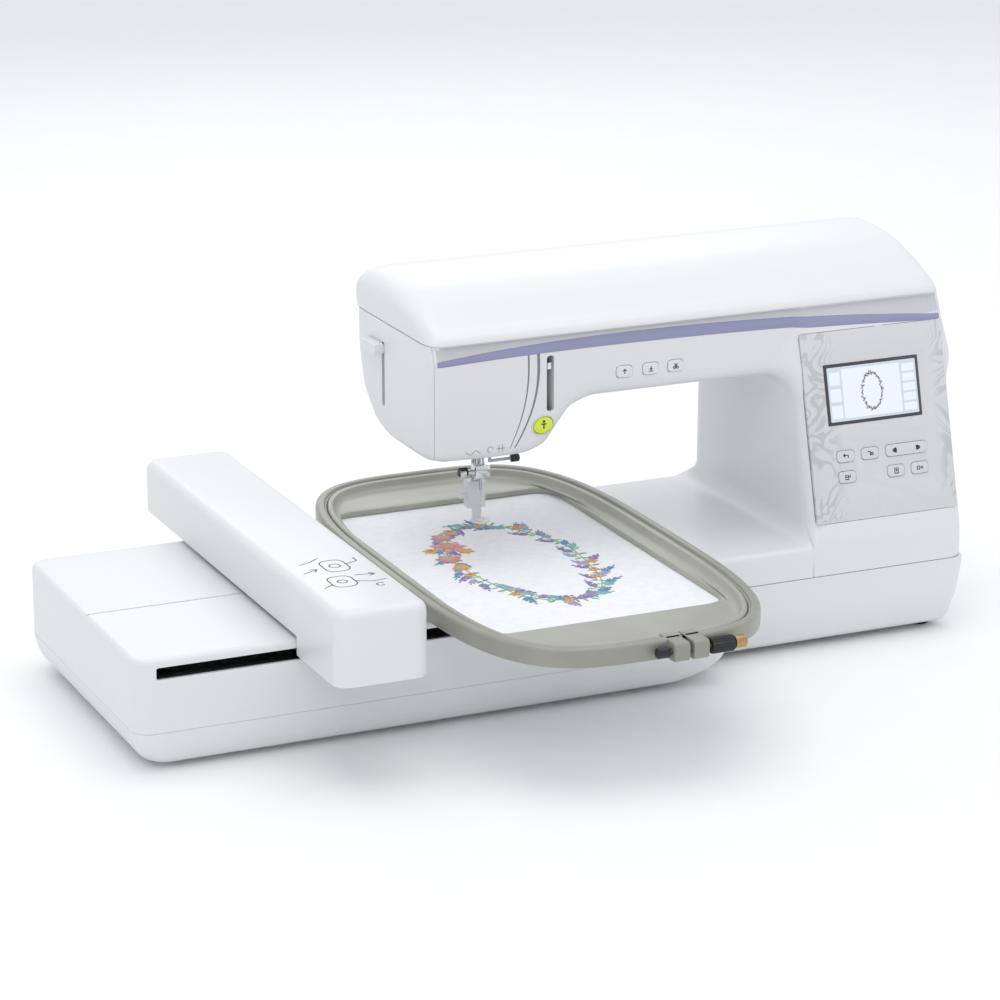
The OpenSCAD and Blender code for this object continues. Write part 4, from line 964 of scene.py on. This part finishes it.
def hoop():
    base, top = RING_LO[2], RING_HI[2]
    rows = [(1, 0), (0.2, 0.5), (0, 1.5), (0, 10.8), (0.35, 12.3), (1.3, 13.4), (2.8, 14), (5.6, 14),
            (6.6, 13.6), (7.1, 12.8), (7.4, 11.8), (8.4, 11.6), (8.9, 11), (9, 10), (9, 1), (8.4, 0)]
    outer = piece("hoop_frame_outer", *rings([oval(d, base + z) for d, z in rows], closed=True),
                  "hoop_grey", "hoop", "hoop_grey", ("hoop_outer",))
    screw = size_of("hoop_screw")
    gap = box_solid([RING_X + 16, screw[0][1] - 6, base - 5], [RING_X + 19, screw[0][1] + 40, top + 5], 0.3)
    cut(outer, gap)
    bracket = box_solid([RING_LO[0] - 5, HOLDER_LO[1] - 0.4, HOLDER_LO[2] - 0.3],
                        [RING_LO[0] + 4.2, HOLDER_HI[1] + 0.4, HOLDER_LO[2] + 4.9], 0.3)
    cut(outer, bracket)
    dress(outer, "hoop_grey", "hoop")
    lugs = [box_solid([x, RING_LO[1], base], [x + 12, RING_LO[1] + 28, top], 3.4, "yzx")
            for x in (RING_X + 4, RING_X + 19)]
    block = piece("hoop_lugs", *joined(*lugs), "hoop_grey", "hoop", "hoop_grey")
    modifier = block.modifiers.new("edges", "BEVEL")
    modifier.width, modifier.segments, modifier.angle_limit = 0.9 * MM, 3, math.radians(60)
    bake(block)
    cut(block, rod(2.3, RING_X - 2, RING_X + 40, [0, (screw[0][1] + screw[1][1]) / 2, base + 7], "x"))
    dress(block, "hoop_grey", "hoop")

    wall = [(9.3, 1.1), (9.3, 10.6), (9.6, 11.9), (10.6, 12.8), (12.2, 12.9), (13.4, 12.3), (14.1, 11),
            (14.9, 8.6), (16.5, 6.9), (19, 6.1)]
    layers = [oval(d, base + z) for d, z in wall]
    rim, lip = layers[-1], window(base + 5.2, 2.2)
    for share, z in ((0.3, 5.8), (0.65, 5.5)):
        blended = rim * (1 - share) + lip * share
        blended[:, 2] = base + z
        layers.append(blended)
    layers += [lip, window(base + 4.7, 0.7), window(base + 3.6), window(base + 1.2), window(base + 0.9, 0.6)]
    piece("hoop_frame_inner", *rings(layers, closed=True), "hoop_pale", "hoop", "hoop_grey", ("hoop_inner",))


def fluted(x0, x1, r, centre, teeth=20, depth=0.5):
    """A knob along x with flutes round it and its two edges rounded."""
    a = np.linspace(0, 2 * math.pi, teeth * 6, endpoint=False)
    wave = depth * (0.5 + 0.5 * np.cos(teeth * a))
    layers = []
    for inset, x in edge_profile(x0, x1, 1.2, 1.2, 4):
        radius = r - inset - wave
        layers.append(np.column_stack([np.full(len(a), x), centre[1] + radius * np.cos(a),
                                       centre[2] + radius * np.sin(a)]))
    return rings(layers)


def clamp_screw():
    lo, hi = size_of("hoop_screw")
    axis = (lo + hi) / 2 * [0, 1, 1]
    near, far = lo[0], hi[0]
    spindle = lathe([(1.2, near + 0.5), (1.9, near + 1.2), (1.9, far - 12), (3.4, far - 11.5),
                     (3.4, far - 9.5), (4.6, far - 9), (4.6, far - 1.2), (3.6, far)], axis, "x")
    piece("clamp_spindle", *spindle, "bronze", "clamp_screw", "steel", ["hoop_screw"])
    nut = lathe([(2.5, near), (4, near + 1), (4, near + 9), (3.2, near + 10)], axis, "x")
    piece("clamp_nut", *nut, "black_plastic", "clamp_screw")
    piece("clamp_knob", *fluted(far - 28, far - 10, 6, axis), "black_plastic", "clamp_screw")


def fabric():
    """The cloth held between the two frames, drum-tight with a slight pucker round the embroidery."""
    base = CLOTH_LO[2]
    thick = CLOTH_HI[2] - base
    edge = oval(RING_X - HALF_W - CLOTH_LO[0] + 2 * (CLOTH_LO[0] - RING_LO[0]), base)
    middle = np.array([RING_X, RING_Y, base])
    shares = np.linspace(1, 0.02, 46)
    top = []
    for share in shares:
        ring = middle + (edge - middle) * share
        spot = (ring - [RING_X, WINDOW_Y, 0]) / [58, 108, 1]
        near = np.exp(-((np.hypot(spot[:, 0], spot[:, 1]) - 0.9) / 0.2) ** 2)
        ripple = np.sin(ring[:, 0] * 0.33) * np.sin(ring[:, 1] * 0.27 + 1)
        ring[:, 2] = base + thick - 0.12 * near * (0.5 + 0.5 * ripple)
        top.append(ring)
    under = [np.column_stack([ring[:, :2], np.full(AROUND, base)]) for ring in top[::-1]]
    points, faces = joined(rings(top, (False, True)), rings(under, (True, False)))
    last = len(points) - AROUND
    faces += [[i, last + i, last + (i + 1) % AROUND, (i + 1) % AROUND] for i in range(AROUND)]
    cloth = piece("hooped_fabric", points, faces, "fabric_white", "hoop", replaces=["hoop_fabric"])


THREADS = {
    "coral": (0.85, 0.22, 0.20), "rose": (0.90, 0.42, 0.45), "orange": (0.95, 0.36, 0.06),
    "gold": (0.93, 0.62, 0.12), "violet": (0.30, 0.20, 0.58), "lilac": (0.50, 0.40, 0.75),
    "blue": (0.12, 0.30, 0.66), "aqua": (0.22, 0.60, 0.66),
    "green": (0.16, 0.45, 0.20), "lime": (0.42, 0.66, 0.24),
}
STITCHES = {colour: [] for colour in THREADS}
CLOTH_TOP = CLOTH_HI[2] - 0.1


def petal(colour, x, y, angle, length, width, height=0.7, lift=0.0):
    """One satin-stitched petal or leaf: a low pillow, pointed at both ends, from (x, y) along angle."""
    u, v = np.meshgrid(np.linspace(0, 1, 9), np.linspace(-1, 1, 5), indexing="ij")
    half = width / 2 * np.sin(math.pi * np.clip(u, 0.02, 0.98) ** 0.85) ** 0.8
    along, across = u * length, v * half
    z = CLOTH_TOP + lift + height * (1 - v ** 2) * np.sin(math.pi * np.clip(u, 0.03, 0.97)) ** 0.5
    c, s = math.cos(angle), math.sin(angle)
    points = np.stack([x + along * c - across * s, y + along * s + across * c, z], -1).reshape(-1, 3)
    STITCHES[colour].append((points, np.stack([along, across], -1).reshape(-1, 2), (9, 5)))


def stem(colour, path, width=0.9):
    """A line of stem stitch along a path."""
    path = np.asarray(path, float)
    run = np.gradient(path, axis=0)
    side = np.stack([-run[:, 1], run[:, 0]], 1) / np.maximum(np.hypot(run[:, 0], run[:, 1]), 1e-6)[:, None]
    v = np.linspace(-1, 1, 5)
    flat = path[:, None, :] + side[:, None, :] * v[None, :, None] * width / 2
    z = CLOTH_TOP + 0.45 * (1 - v[None, :] ** 2) + 0 * flat[..., 0]
    along = np.cumsum(np.hypot(*run.T))[:, None] + 0 * flat[..., 0]
    points = np.concatenate([flat, z[..., None]], -1).reshape(-1, 3)
    uv = np.stack([along, v[None, :] * width / 2 + 0 * along], -1).reshape(-1, 2)
    STITCHES[colour].append((points, uv, flat.shape[:2]))


def flower(x, y, r, outer, inner, heart, petals=6, turn=0.0):
    for ring, (share, colour) in enumerate(((1, outer), (0.66, inner))):
        for i in range(petals):
            a = turn + 2 * math.pi * (i + 0.5 * ring) / petals
            petal(colour, x, y, a, r * share, r * share * 0.75, 0.8, 0.25 * ring)
    for i in range(5):
        a = 2 * math.pi * i / 5
        petal(heart, x + 0.06 * r * math.cos(a), y + 0.06 * r * math.sin(a), a, r * 0.26, r * 0.2, 0.6, 0.75)


def sprig(draw, x, y, angle, length, colour, leaf, pairs=5):
    """A curved stem with pairs of small petals, smaller towards its tip."""
    curl = draw.uniform(-0.5, 0.5)
    t = np.linspace(0, 1, 10)
    bend = angle + curl * t
    path = np.column_stack([x + np.cumsum(np.cos(bend)) * length / 10,
                            y + np.cumsum(np.sin(bend)) * length / 10])
    stem(leaf, path, 0.8)
    for i in range(pairs):
        k = 2 + int(7 * i / pairs)
        size = 6.4 - 2.8 * i / pairs
        for side in (-1, 1):
            petal(colour, *path[k], bend[k] + side * draw.uniform(0.5, 0.8), size, size * 0.42)
    petal(colour, *path[-1], bend[-1], 4, 1.8)


def wreath():
    """A generic oval wreath of flowers, sprigs and leaves in the window."""
    draw = random.Random(11)
    cx, cy, a, b = RING_X, WINDOW_Y, 47.0, 96.0

    def spot(turn, out=0.0):
        return cx + (a + out) * math.cos(turn), cy + (b + out) * math.sin(turn)

    for k in range(4):
        turn = np.linspace(k * math.pi / 2 + 0.1, (k + 1) * math.pi / 2 + 0.25, 40)
        stem("green", np.column_stack([cx + (a + 1.5 * np.sin(5 * turn)) * np.cos(turn),
                                       cy + (b + 1.5 * np.sin(5 * turn)) * np.sin(turn)]), 1.0)
    mixes = [("violet", "green"), ("blue", "green"), ("lilac", "lime"), ("aqua", "lime"), ("violet", "lime")]
    count = 60
    for i in range(count):
        turn = 2 * math.pi * i / count
        x, y = spot(turn, draw.uniform(-2, 2))
        flow = math.atan2(b * math.cos(turn), -a * math.sin(turn))
        out = math.atan2(math.sin(turn) / b, math.cos(turn) / a)
        lean = draw.choice((-1, 1))
        colour, leaf = mixes[(i * 3 + i // 5) % len(mixes)]
        sprig(draw, x, y, flow + lean * draw.uniform(0.35, 0.7), draw.uniform(14, 22), colour, leaf)
        petal(("green", "lime", "aqua")[i % 3], x, y, out + draw.uniform(-0.5, 0.5), draw.uniform(6, 9), 2.6)
        petal(("lime", "green")[i % 2], x, y, out + math.pi + draw.uniform(-0.5, 0.5),
              draw.uniform(5, 7.5), 2.3)
    for turn, out, r, tone in ((2.52, -2, 15, "rose"), (2.86, 3, 11, "coral"), (2.24, 4, 10, "coral"),
                               (2.62, -14, 7.5, "orange"), (3.08, 0, 8, "orange"), (2.02, 2, 7, "gold"),
                               (3.28, 2, 5.5, "gold"), (2.66, 13, 7, "gold")):
        x, y = spot(turn, out)
        inner = {"rose": "coral", "coral": "rose", "orange": "gold", "gold": "orange"}[tone]
        flower(x, y, r, tone, inner, "gold" if tone != "gold" else "coral", 7 if r > 9 else 6, turn)
    for turn in (-0.42, -0.62, -0.2, 0.9, 1.45, 3.9, 4.6):
        x, y = spot(turn, draw.uniform(-4, 4))
        flower(x, y, draw.uniform(4.4, 6), "orange", "gold", "coral", 5, turn)
    for colour, rows in STITCHES.items():
        points, uvs, faces = [], [], []
        for p, uv, (m, n) in rows:
            base = len(points)
            points += [tuple(q) for q in world(p)]
            uvs += [tuple(q) for q in uv]
            corners = [base + i * n + j for i in range(m - 1) for j in range(n - 1)]
            faces += [(k, k + n, k + n + 1, k + 1) for k in corners]
        LOOKS["thread_" + colour] = thread_material("thread_" + colour, THREADS[colour])
        mesh = bpy.data.meshes.new("stitch_" + colour)
        mesh.from_pydata(points, [], faces)
        layer = mesh.uv_layers.new(name="stitch")
        spots = np.array(uvs)[np.array([v for f in faces for v in f])]
        layer.data.foreach_set("uv", spots.astype(np.float32).ravel())
        obj = placed("stitch_" + colour, mesh)
        dress(obj, "thread_" + colour, "hoop", sharp=80)


# ---- Panel, buttons and printing ----


def ribbon(path, width, place, lift=0.06):
    """A printed line: a thin strip along a path of u and v, put in place by a function."""
    path = np.asarray(path, float)
    run = np.gradient(path, axis=0)
    side = np.stack([-run[:, 1], run[:, 0]], 1) / np.maximum(np.hypot(run[:, 0], run[:, 1]), 1e-6)[:, None]
    left, right = path + side * width / 2, path - side * width / 2
    rows = [np.column_stack([p, np.full(len(path), w)]) for w in (0.0, lift) for p in (left, right)]
    ring = [np.stack([rows[0][i], rows[1][i], rows[3][i], rows[2][i]]) for i in range(len(path))]
    points, faces = rings(ring)
    return place(points), faces


def line(*points, steps=3):
    """Points along straight runs between the given ones."""
    out = []
    for a, b in zip(points, points[1:]):
        a, b = np.array(a), np.array(b)
        out += [a + (b - a) * t for t in np.linspace(0, 1, steps, endpoint=False)]
    return np.array(out + [np.array(points[-1])])


def circle(u, v, r, a0=0.0, a1=2 * math.pi, steps=28):
    return np.array(arc_points((u, v), r, a0, a1, steps))


def loop_line(outline):
    return np.concatenate([outline, outline[:2]])


def printing(name, paths, width, place, look, body, slot="black_plastic", lift=0.06):
    piece(name, *joined(*[ribbon(p, width, place, lift) for p in paths]), look, body, slot)


def panel_spot(node):
    """Where a key's middle is on the panel, as u and v."""
    lo, hi = size_of(node)
    middle = (lo + hi) / 2 - PANEL
    return middle[0], middle[1] * math.sin(LEAN) + middle[2] * math.cos(LEAN)


def symbol(kind):
    """A generic sign about 5 mm high, as paths round the origin."""
    return {
        "back": [line((2, -1.4), (2, 0.8), (-2, 0.8)), line((-0.8, 2), (-2.2, 0.8), (-0.8, -0.4))],
        "needle": [line((-2, 1.4), (0, 1.4), (0, -1.8)), circle(1.6, -0.4, 0.9)],
        "machine": [loop_line(np.array(rect(-2, -1.8, 0.6, 1.4))), line((-2, 0), (2.2, 0), (2.2, 1.6))],
        "left": [line((1.2, 1.6), (-1.4, 0), (1.2, -1.6), (1.2, 1.6))],
        "right": [line((-1.2, 1.6), (1.4, 0), (-1.2, -1.6), (-1.2, 1.6))],
        "sheet": [loop_line(np.array(rect(-1.6, -2, 1.6, 2))), line((-0.8, 0.8), (0.8, 0.8)),
                  line((-0.8, -0.2), (0.8, -0.2))],
        "pair": [loop_line(np.array(rect(-2.4, -1.2, -0.4, 1.2))), line((0.2, 0), (2.4, 0)),
                 line((1.5, 0.9), (2.5, 0), (1.5, -0.9))],
        "up": [line((-1.6, 0.4), (0, 1.9), (1.6, 0.4)), line((0, 1.9), (0, -1.6))],
        "scissors": [circle(-1.2, -1.2, 0.8), circle(1.2, -1.2, 0.8), line((-0.8, -0.5), (1.4, 2)),
                     line((0.8, -0.5), (-1.4, 2))],
        "drop": [line((0, 2), (0, -0.6)), line((-1, 0.4), (0, -0.8), (1, 0.4)),
                 line((-1.8, -1.8), (1.8, -1.8))],
    }[kind]


def panel():
    soften("control_panel", "silver_panel", "silver_panel", 0.5)
    low, high = DISPLAY_LO - PANEL, DISPLAY_HI - PANEL
    u0, u1 = low[0], high[0]
    half = 23.5
    v0, v1 = SCREEN_MIDDLE - half, SCREEN_MIDDLE + half
    glass = slab(rect(u0, v0, u1, v1), 2, -1.4, 0.25, top=0.3)
    piece("display_cover", on_panel(glass[0]), glass[1], "screen_glass", replaces=["display_glass"])

    def tile(name, a, b, c, d, w, look, r=1.0):
        points, faces = slab(rect(u0 + a, v0 + b, u0 + c, v0 + d), r, w, w + 0.05, steps=4)
        piece(name, on_panel(points), faces, look, slot="screen_glass")

    tile("screen_back", 2.5, 2.5, 80.5, 44.5, 0.27, "screen_lit")
    tile("screen_field", 15, 4.5, 66, 42.5, 0.33, "screen_pale")
    for k in range(5):
        tile(f"screen_side_{k + 1}", 68, 5 + 7.6 * k, 79, 11 + 7.6 * k, 0.33, "screen_pale")
    for k in range(3):
        tile(f"screen_tab_{k + 1}", 4, 5 + 12.8 * k, 13.4, 15 + 12.8 * k, 0.33, "screen_pale")

    def on_glass(points):
        return on_panel(points + [u0 + 40.5, v0 + 23.5, 0.4])

    draw = random.Random(5)
    leaves = []
    for k in range(54):
        turn = 2 * math.pi * k / 54
        x, y = 8.6 * math.cos(turn), 14 * math.sin(turn)
        lean = turn + draw.uniform(0.3, 2.8)
        reach = np.array([math.cos(lean), math.sin(lean)]) * draw.uniform(1.4, 2.4)
        leaves.append(line((x, y) - reach, (x, y) + reach * 0.6))
    for tone, look in enumerate(("violet_trim", "ink_grey", "key_grey")):
        printing(f"screen_wreath_{tone + 1}", leaves[tone::3], 1.0, on_glass, look, "machine",
                 "violet_trim", 0.03)

    def key(node, sign, paths, width):
        soften(node, "key_grey", "silver_panel", 0.7, 3)
        u, v = panel_spot(node)
        printing(sign, paths, width, lambda p: on_panel(p + [u, v, 0.84]), "ink",
                 frame["nodes"][node]["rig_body"])

    for number, sign in enumerate(("back", "needle", "machine", "sheet", "pair"), 1):
        node = f"panel_key_{number}"
        key(node, "sign_" + node, symbol(sign), 0.75)
    arrows = [p + [side * 10.5, 0] for side, way in ((-1, "left"), (1, "right")) for p in symbol(way)]
    key("arrow_key", "sign_arrows", arrows, 1.5)


def stripe():
    """The coloured band that arches across the head, arm and pillar, let into the surface."""
    x0, x1 = FACE_HI[0] + 2, RIGHT - 6
    t = np.linspace(0, 1, 120)
    x = x0 + (x1 - x0) * t
    top = LID_Z - 11 + 7 * np.sin(math.pi * t ** 0.75) - 5 * t ** 6
    tall = 4 + 4.5 * np.sin(math.pi * t) ** 0.6
    band("trim_stripe", x, top - tall, top, 0.5, "violet_trim", ["trim_band"])
    # A grey strip between the stripe and the lid: painted shade where the casing turns down under the lid
    band("trim_shadow", x, top + 0.2, np.full(len(x), LID_Z - 1.2), 0.15, "trim_grey")


def band(name, x, foot, top, proud, look, replaces=()):
    """A moulded strip along the casing's front between two lines of heights."""
    shares = np.linspace(0, 1, 7)
    rows = []
    for share in shares:
        z = foot + (top - foot) * share
        rows.append(np.column_stack([x, front_depth(x, z), z]))
    outer, inner = np.stack(rows), np.stack(rows)
    outer[..., 1] -= (proud * np.sin(math.pi * (0.08 + 0.84 * shares)))[:, None]
    inner[..., 1] += 0.8
    loops = [np.concatenate([outer[:, i], inner[::-1, i]]) for i in range(len(x))]
    piece(name, *rings(loops), look, slot="violet_trim", replaces=replaces)


def head_front(points):
    """Puts printing drawn in x and z on the casing's front surface."""
    p = np.asarray(points, float)
    depth = front_depth(p[:, 0], p[:, 1])
    return np.column_stack([p[:, 0], depth - p[:, 2], p[:, 1]])


def take_up_liner():
    """Pale walls inside the slot in front of the take-up lever."""
    lo, hi = size_of("take_up_lever")
    walls = [box_solid([x, ARM_FRONT + 1.5, LID_Z - 61], [x + 0.5, ARM_FRONT + 24, LID_Z - 16], 0.2)
             for x in (lo[0] - 1.3, hi[0] + 0.8)]
    piece("take_up_liner", *joined(*walls))


def head_details():
    take_up_liner()
    # Dark strips lying in the thread channels' grooves: painted shade that deepens the grooves
    for k, band in enumerate(channel_bands()):
        points, faces = rings([np.column_stack([band, np.full(len(band), y)])
                               for y in (ARM_FRONT + 0.7, ARM_FRONT + 1.15)])
        piece(f"thread_channel_{k + 1}", turned(points, "xzy"), faces, "ink_grey", "machine", "black_plastic")
    x, z = NEEDLE[0] - 45, HEAD_Z + 11
    marks = [line((x, z + 3), (x + 4, z), (x + 8, z + 4), (x + 12, z + 1)),
             circle(x + 20, z + 3, 2.2, 0, 4.6),
             line((x + 27, z), (x + 27, z + 6)), line((x + 30, z + 6), (x + 30, z)),
             line((x + 25, z + 3), (x + 32, z + 3))]
    printing("threading_marks", marks, 0.5, head_front, "ink_grey", "machine")
    for number, sign in zip((1, 2, 3), ("up", "drop", "scissors")):
        node = f"arm_button_{number}"
        lo, hi = size_of(node)
        soften(node, "white_shell", "white_shell", 0.7, 3)
        middle = (lo + hi) / 2
        printing("sign_" + node, symbol(sign), 0.75,
                 lambda p: np.column_stack([p[:, 0] + middle[0], lo[1] - p[:, 2], p[:, 1] + middle[2]]),
                 "ink", frame["nodes"][node]["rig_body"])
    lo, hi = size_of("start_button")
    middle = (lo + hi) / 2
    r = (hi[0] - lo[0]) / 2
    dome = lathe([(r - 0.2, hi[1]), (r, hi[1] - 1), (r, lo[1] + 1.2), (r - 0.5, lo[1] + 0.4),
                  (r - 1.6, lo[1]), (r * 0.5, lo[1] + 0.15), (0.4, lo[1] + 0.3)],
                 [middle[0], 0, middle[2]], "y", 56)
    piece("start_cap", start_oval(dome[0]), dome[1], "start_green", "start", "start_green", ("start_button",))
    ring = [(r + 0.4, ARM_FRONT + 0.5), (r + 0.5, ARM_FRONT - 0.5), (r + 1.1, ARM_FRONT - 0.8),
            (r + 1.8, ARM_FRONT - 0.4), (r + 1.9, ARM_FRONT + 0.3)]
    points = lathe(ring, [middle[0], 0, middle[2]], "y", 56)[0]
    points, faces = rings(np.split(points, 5), closed=True)
    piece("start_bezel", start_oval(points), faces, "key_grey", slot="white_shell")
    printing("start_sign", [line((-2, 1.2), (2, 1.2)), line((0, 1.2), (0, -2.6)), circle(0, 3.2, 0.6)], 0.9,
             lambda p: np.column_stack([p[:, 0] + middle[0], lo[1] + 0.2 - p[:, 2], p[:, 1] + middle[2]]),
             "ink", "start", lift=0.2)


def carriage_print():
    """Generic pictures on the carriage: a hoop going on, and a hoop with an arrow."""
    top = CARR_HI[2]
    x, y = (CARR_LO[0] + CARR_HI[0]) / 2, CARR_LO[1] + 62

    def flat(points):
        return np.asarray(points) + [x, y, top - 0.01]

    hoop_one = loop_line(rounded(rect(-6, 26, 12, 52), 7))
    hoop_two = loop_line(rounded(rect(-14, -8, 4, 16), 7))
    paths = [hoop_one, line((-24, 30), (-12, 36)), line((-15, 31), (-11.5, 36.2), (-17, 37.5)),
             line((12, 40), (22, 44), (22, 52)), circle(3, 39, 4), line((-20, 50), (-10, 54), (-2, 60)),
             hoop_two, line((4, 2), (16, -4), (26, -2)), circle(-5, 4, 3.5), line((8, 14), (22, 12)),
             line((18, 9), (23, 11.8), (19, 15)), circle(18, -12, 3, 0.5, 5.4), line((-22, -6), (-14, 0))]
    printing("carriage_picture", paths, 1.0, flat, "ink", "carriage")


# ---- CAD nodes that keep their shape ----


def small_parts():
    """Bevelled copies of the small nodes, and looks for the nodes that keep their own shape."""
    for node, look, slot, radius, steps in SOFTENED:
        soften(node, look, slot, radius, *steps)
    for name, obj in frame["nodes"].items():
        for place in obj.material_slots:
            place.material = LOOKS[CAD_LOOKS.get(name, "white_shell")]


def sewing_head():
    """The dark screws and tips round the needle."""
    lo, hi = size_of("needle_clamp")
    middle = (lo + hi) / 2
    knob = fluted(lo[0] - 0.4, lo[0] + 7, 3.6, [0, NEEDLE[1], middle[2]], 16, 0.35)
    piece("clamp_screw_head", *knob, "black_plastic", "needle_set")
    x = NEEDLE[0] + 5
    tip = lathe([(2.2, x + 17.6), (3.2, x + 18.2), (3.2, x + 23.8), (2.4, x + 24.4)],
                [0, NEEDLE[1] - 6, HEAD_Z - 17], "x", 28)
    piece("guide_tip", *tip, "black_plastic")


# Node, look, slot, bevel in millimetres, and the bevel's steps where they aren't the usual number.
SOFTENED = [
    ("needle_plate", "steel", "steel", 0.4, []),
    ("bobbin_cover", "clear_smoke", "clear_smoke", 0.3, []),
    ("threader_lever", "white_shell", "white_shell", 0.9, [3]),
    ("presser_lever", "key_grey", "white_shell", 0.8, []),
    ("embroidery_foot", "white_shell", "white_shell", 0.6, [3]),
    ("needle_clamp", "chrome_steel", "chrome_steel", 0.5, []),
    ("hoop_holder", "white_shell", "white_shell", 1.0, [3]),
    ("spool_pin", "white_shell", "white_shell", 0.5, []),
    ("handwheel", "white_shell", "white_shell", 1.2, [3]),
    ("power_inlet", "black_plastic", "black_plastic", 0.5, []),
    ("power_switch", "black_plastic", "black_plastic", 0.5, []),
]

# Looks of the nodes that keep their own shape. The rest are white_shell.
CAD_LOOKS = {
    "rubber_feet": "rubber_black", "drive_belts": "rubber_black",
    "casing_screws": "steel", "upper_shaft": "steel", "lower_shaft": "steel", "carriage_frame": "steel",
    "top_deck": "pale_shell", "circuit_board": "board_green", "main_frame": "cast_alloy",
    "shaft_bushes": "bronze", "bobbin": "clear_smoke",
    "main_motor": "black_plastic", "bobbin_case": "black_plastic", "unit_chassis": "black_plastic",
    "unit_drive": "black_plastic", "carriage_drive": "black_plastic",
    "rotary_hook": "chrome_steel", "needle_bar": "chrome_steel", "needle": "chrome_steel",
    "presser_bar": "chrome_steel", "take_up_lever": "chrome_steel",
}

camera()
studio()
floor()
machine_shell()
hinges()
unit()
carriage()
hoop()
clamp_screw()
fabric()
wreath()
panel()
stripe()
head_details()
carriage_print()
sewing_head()
small_parts()
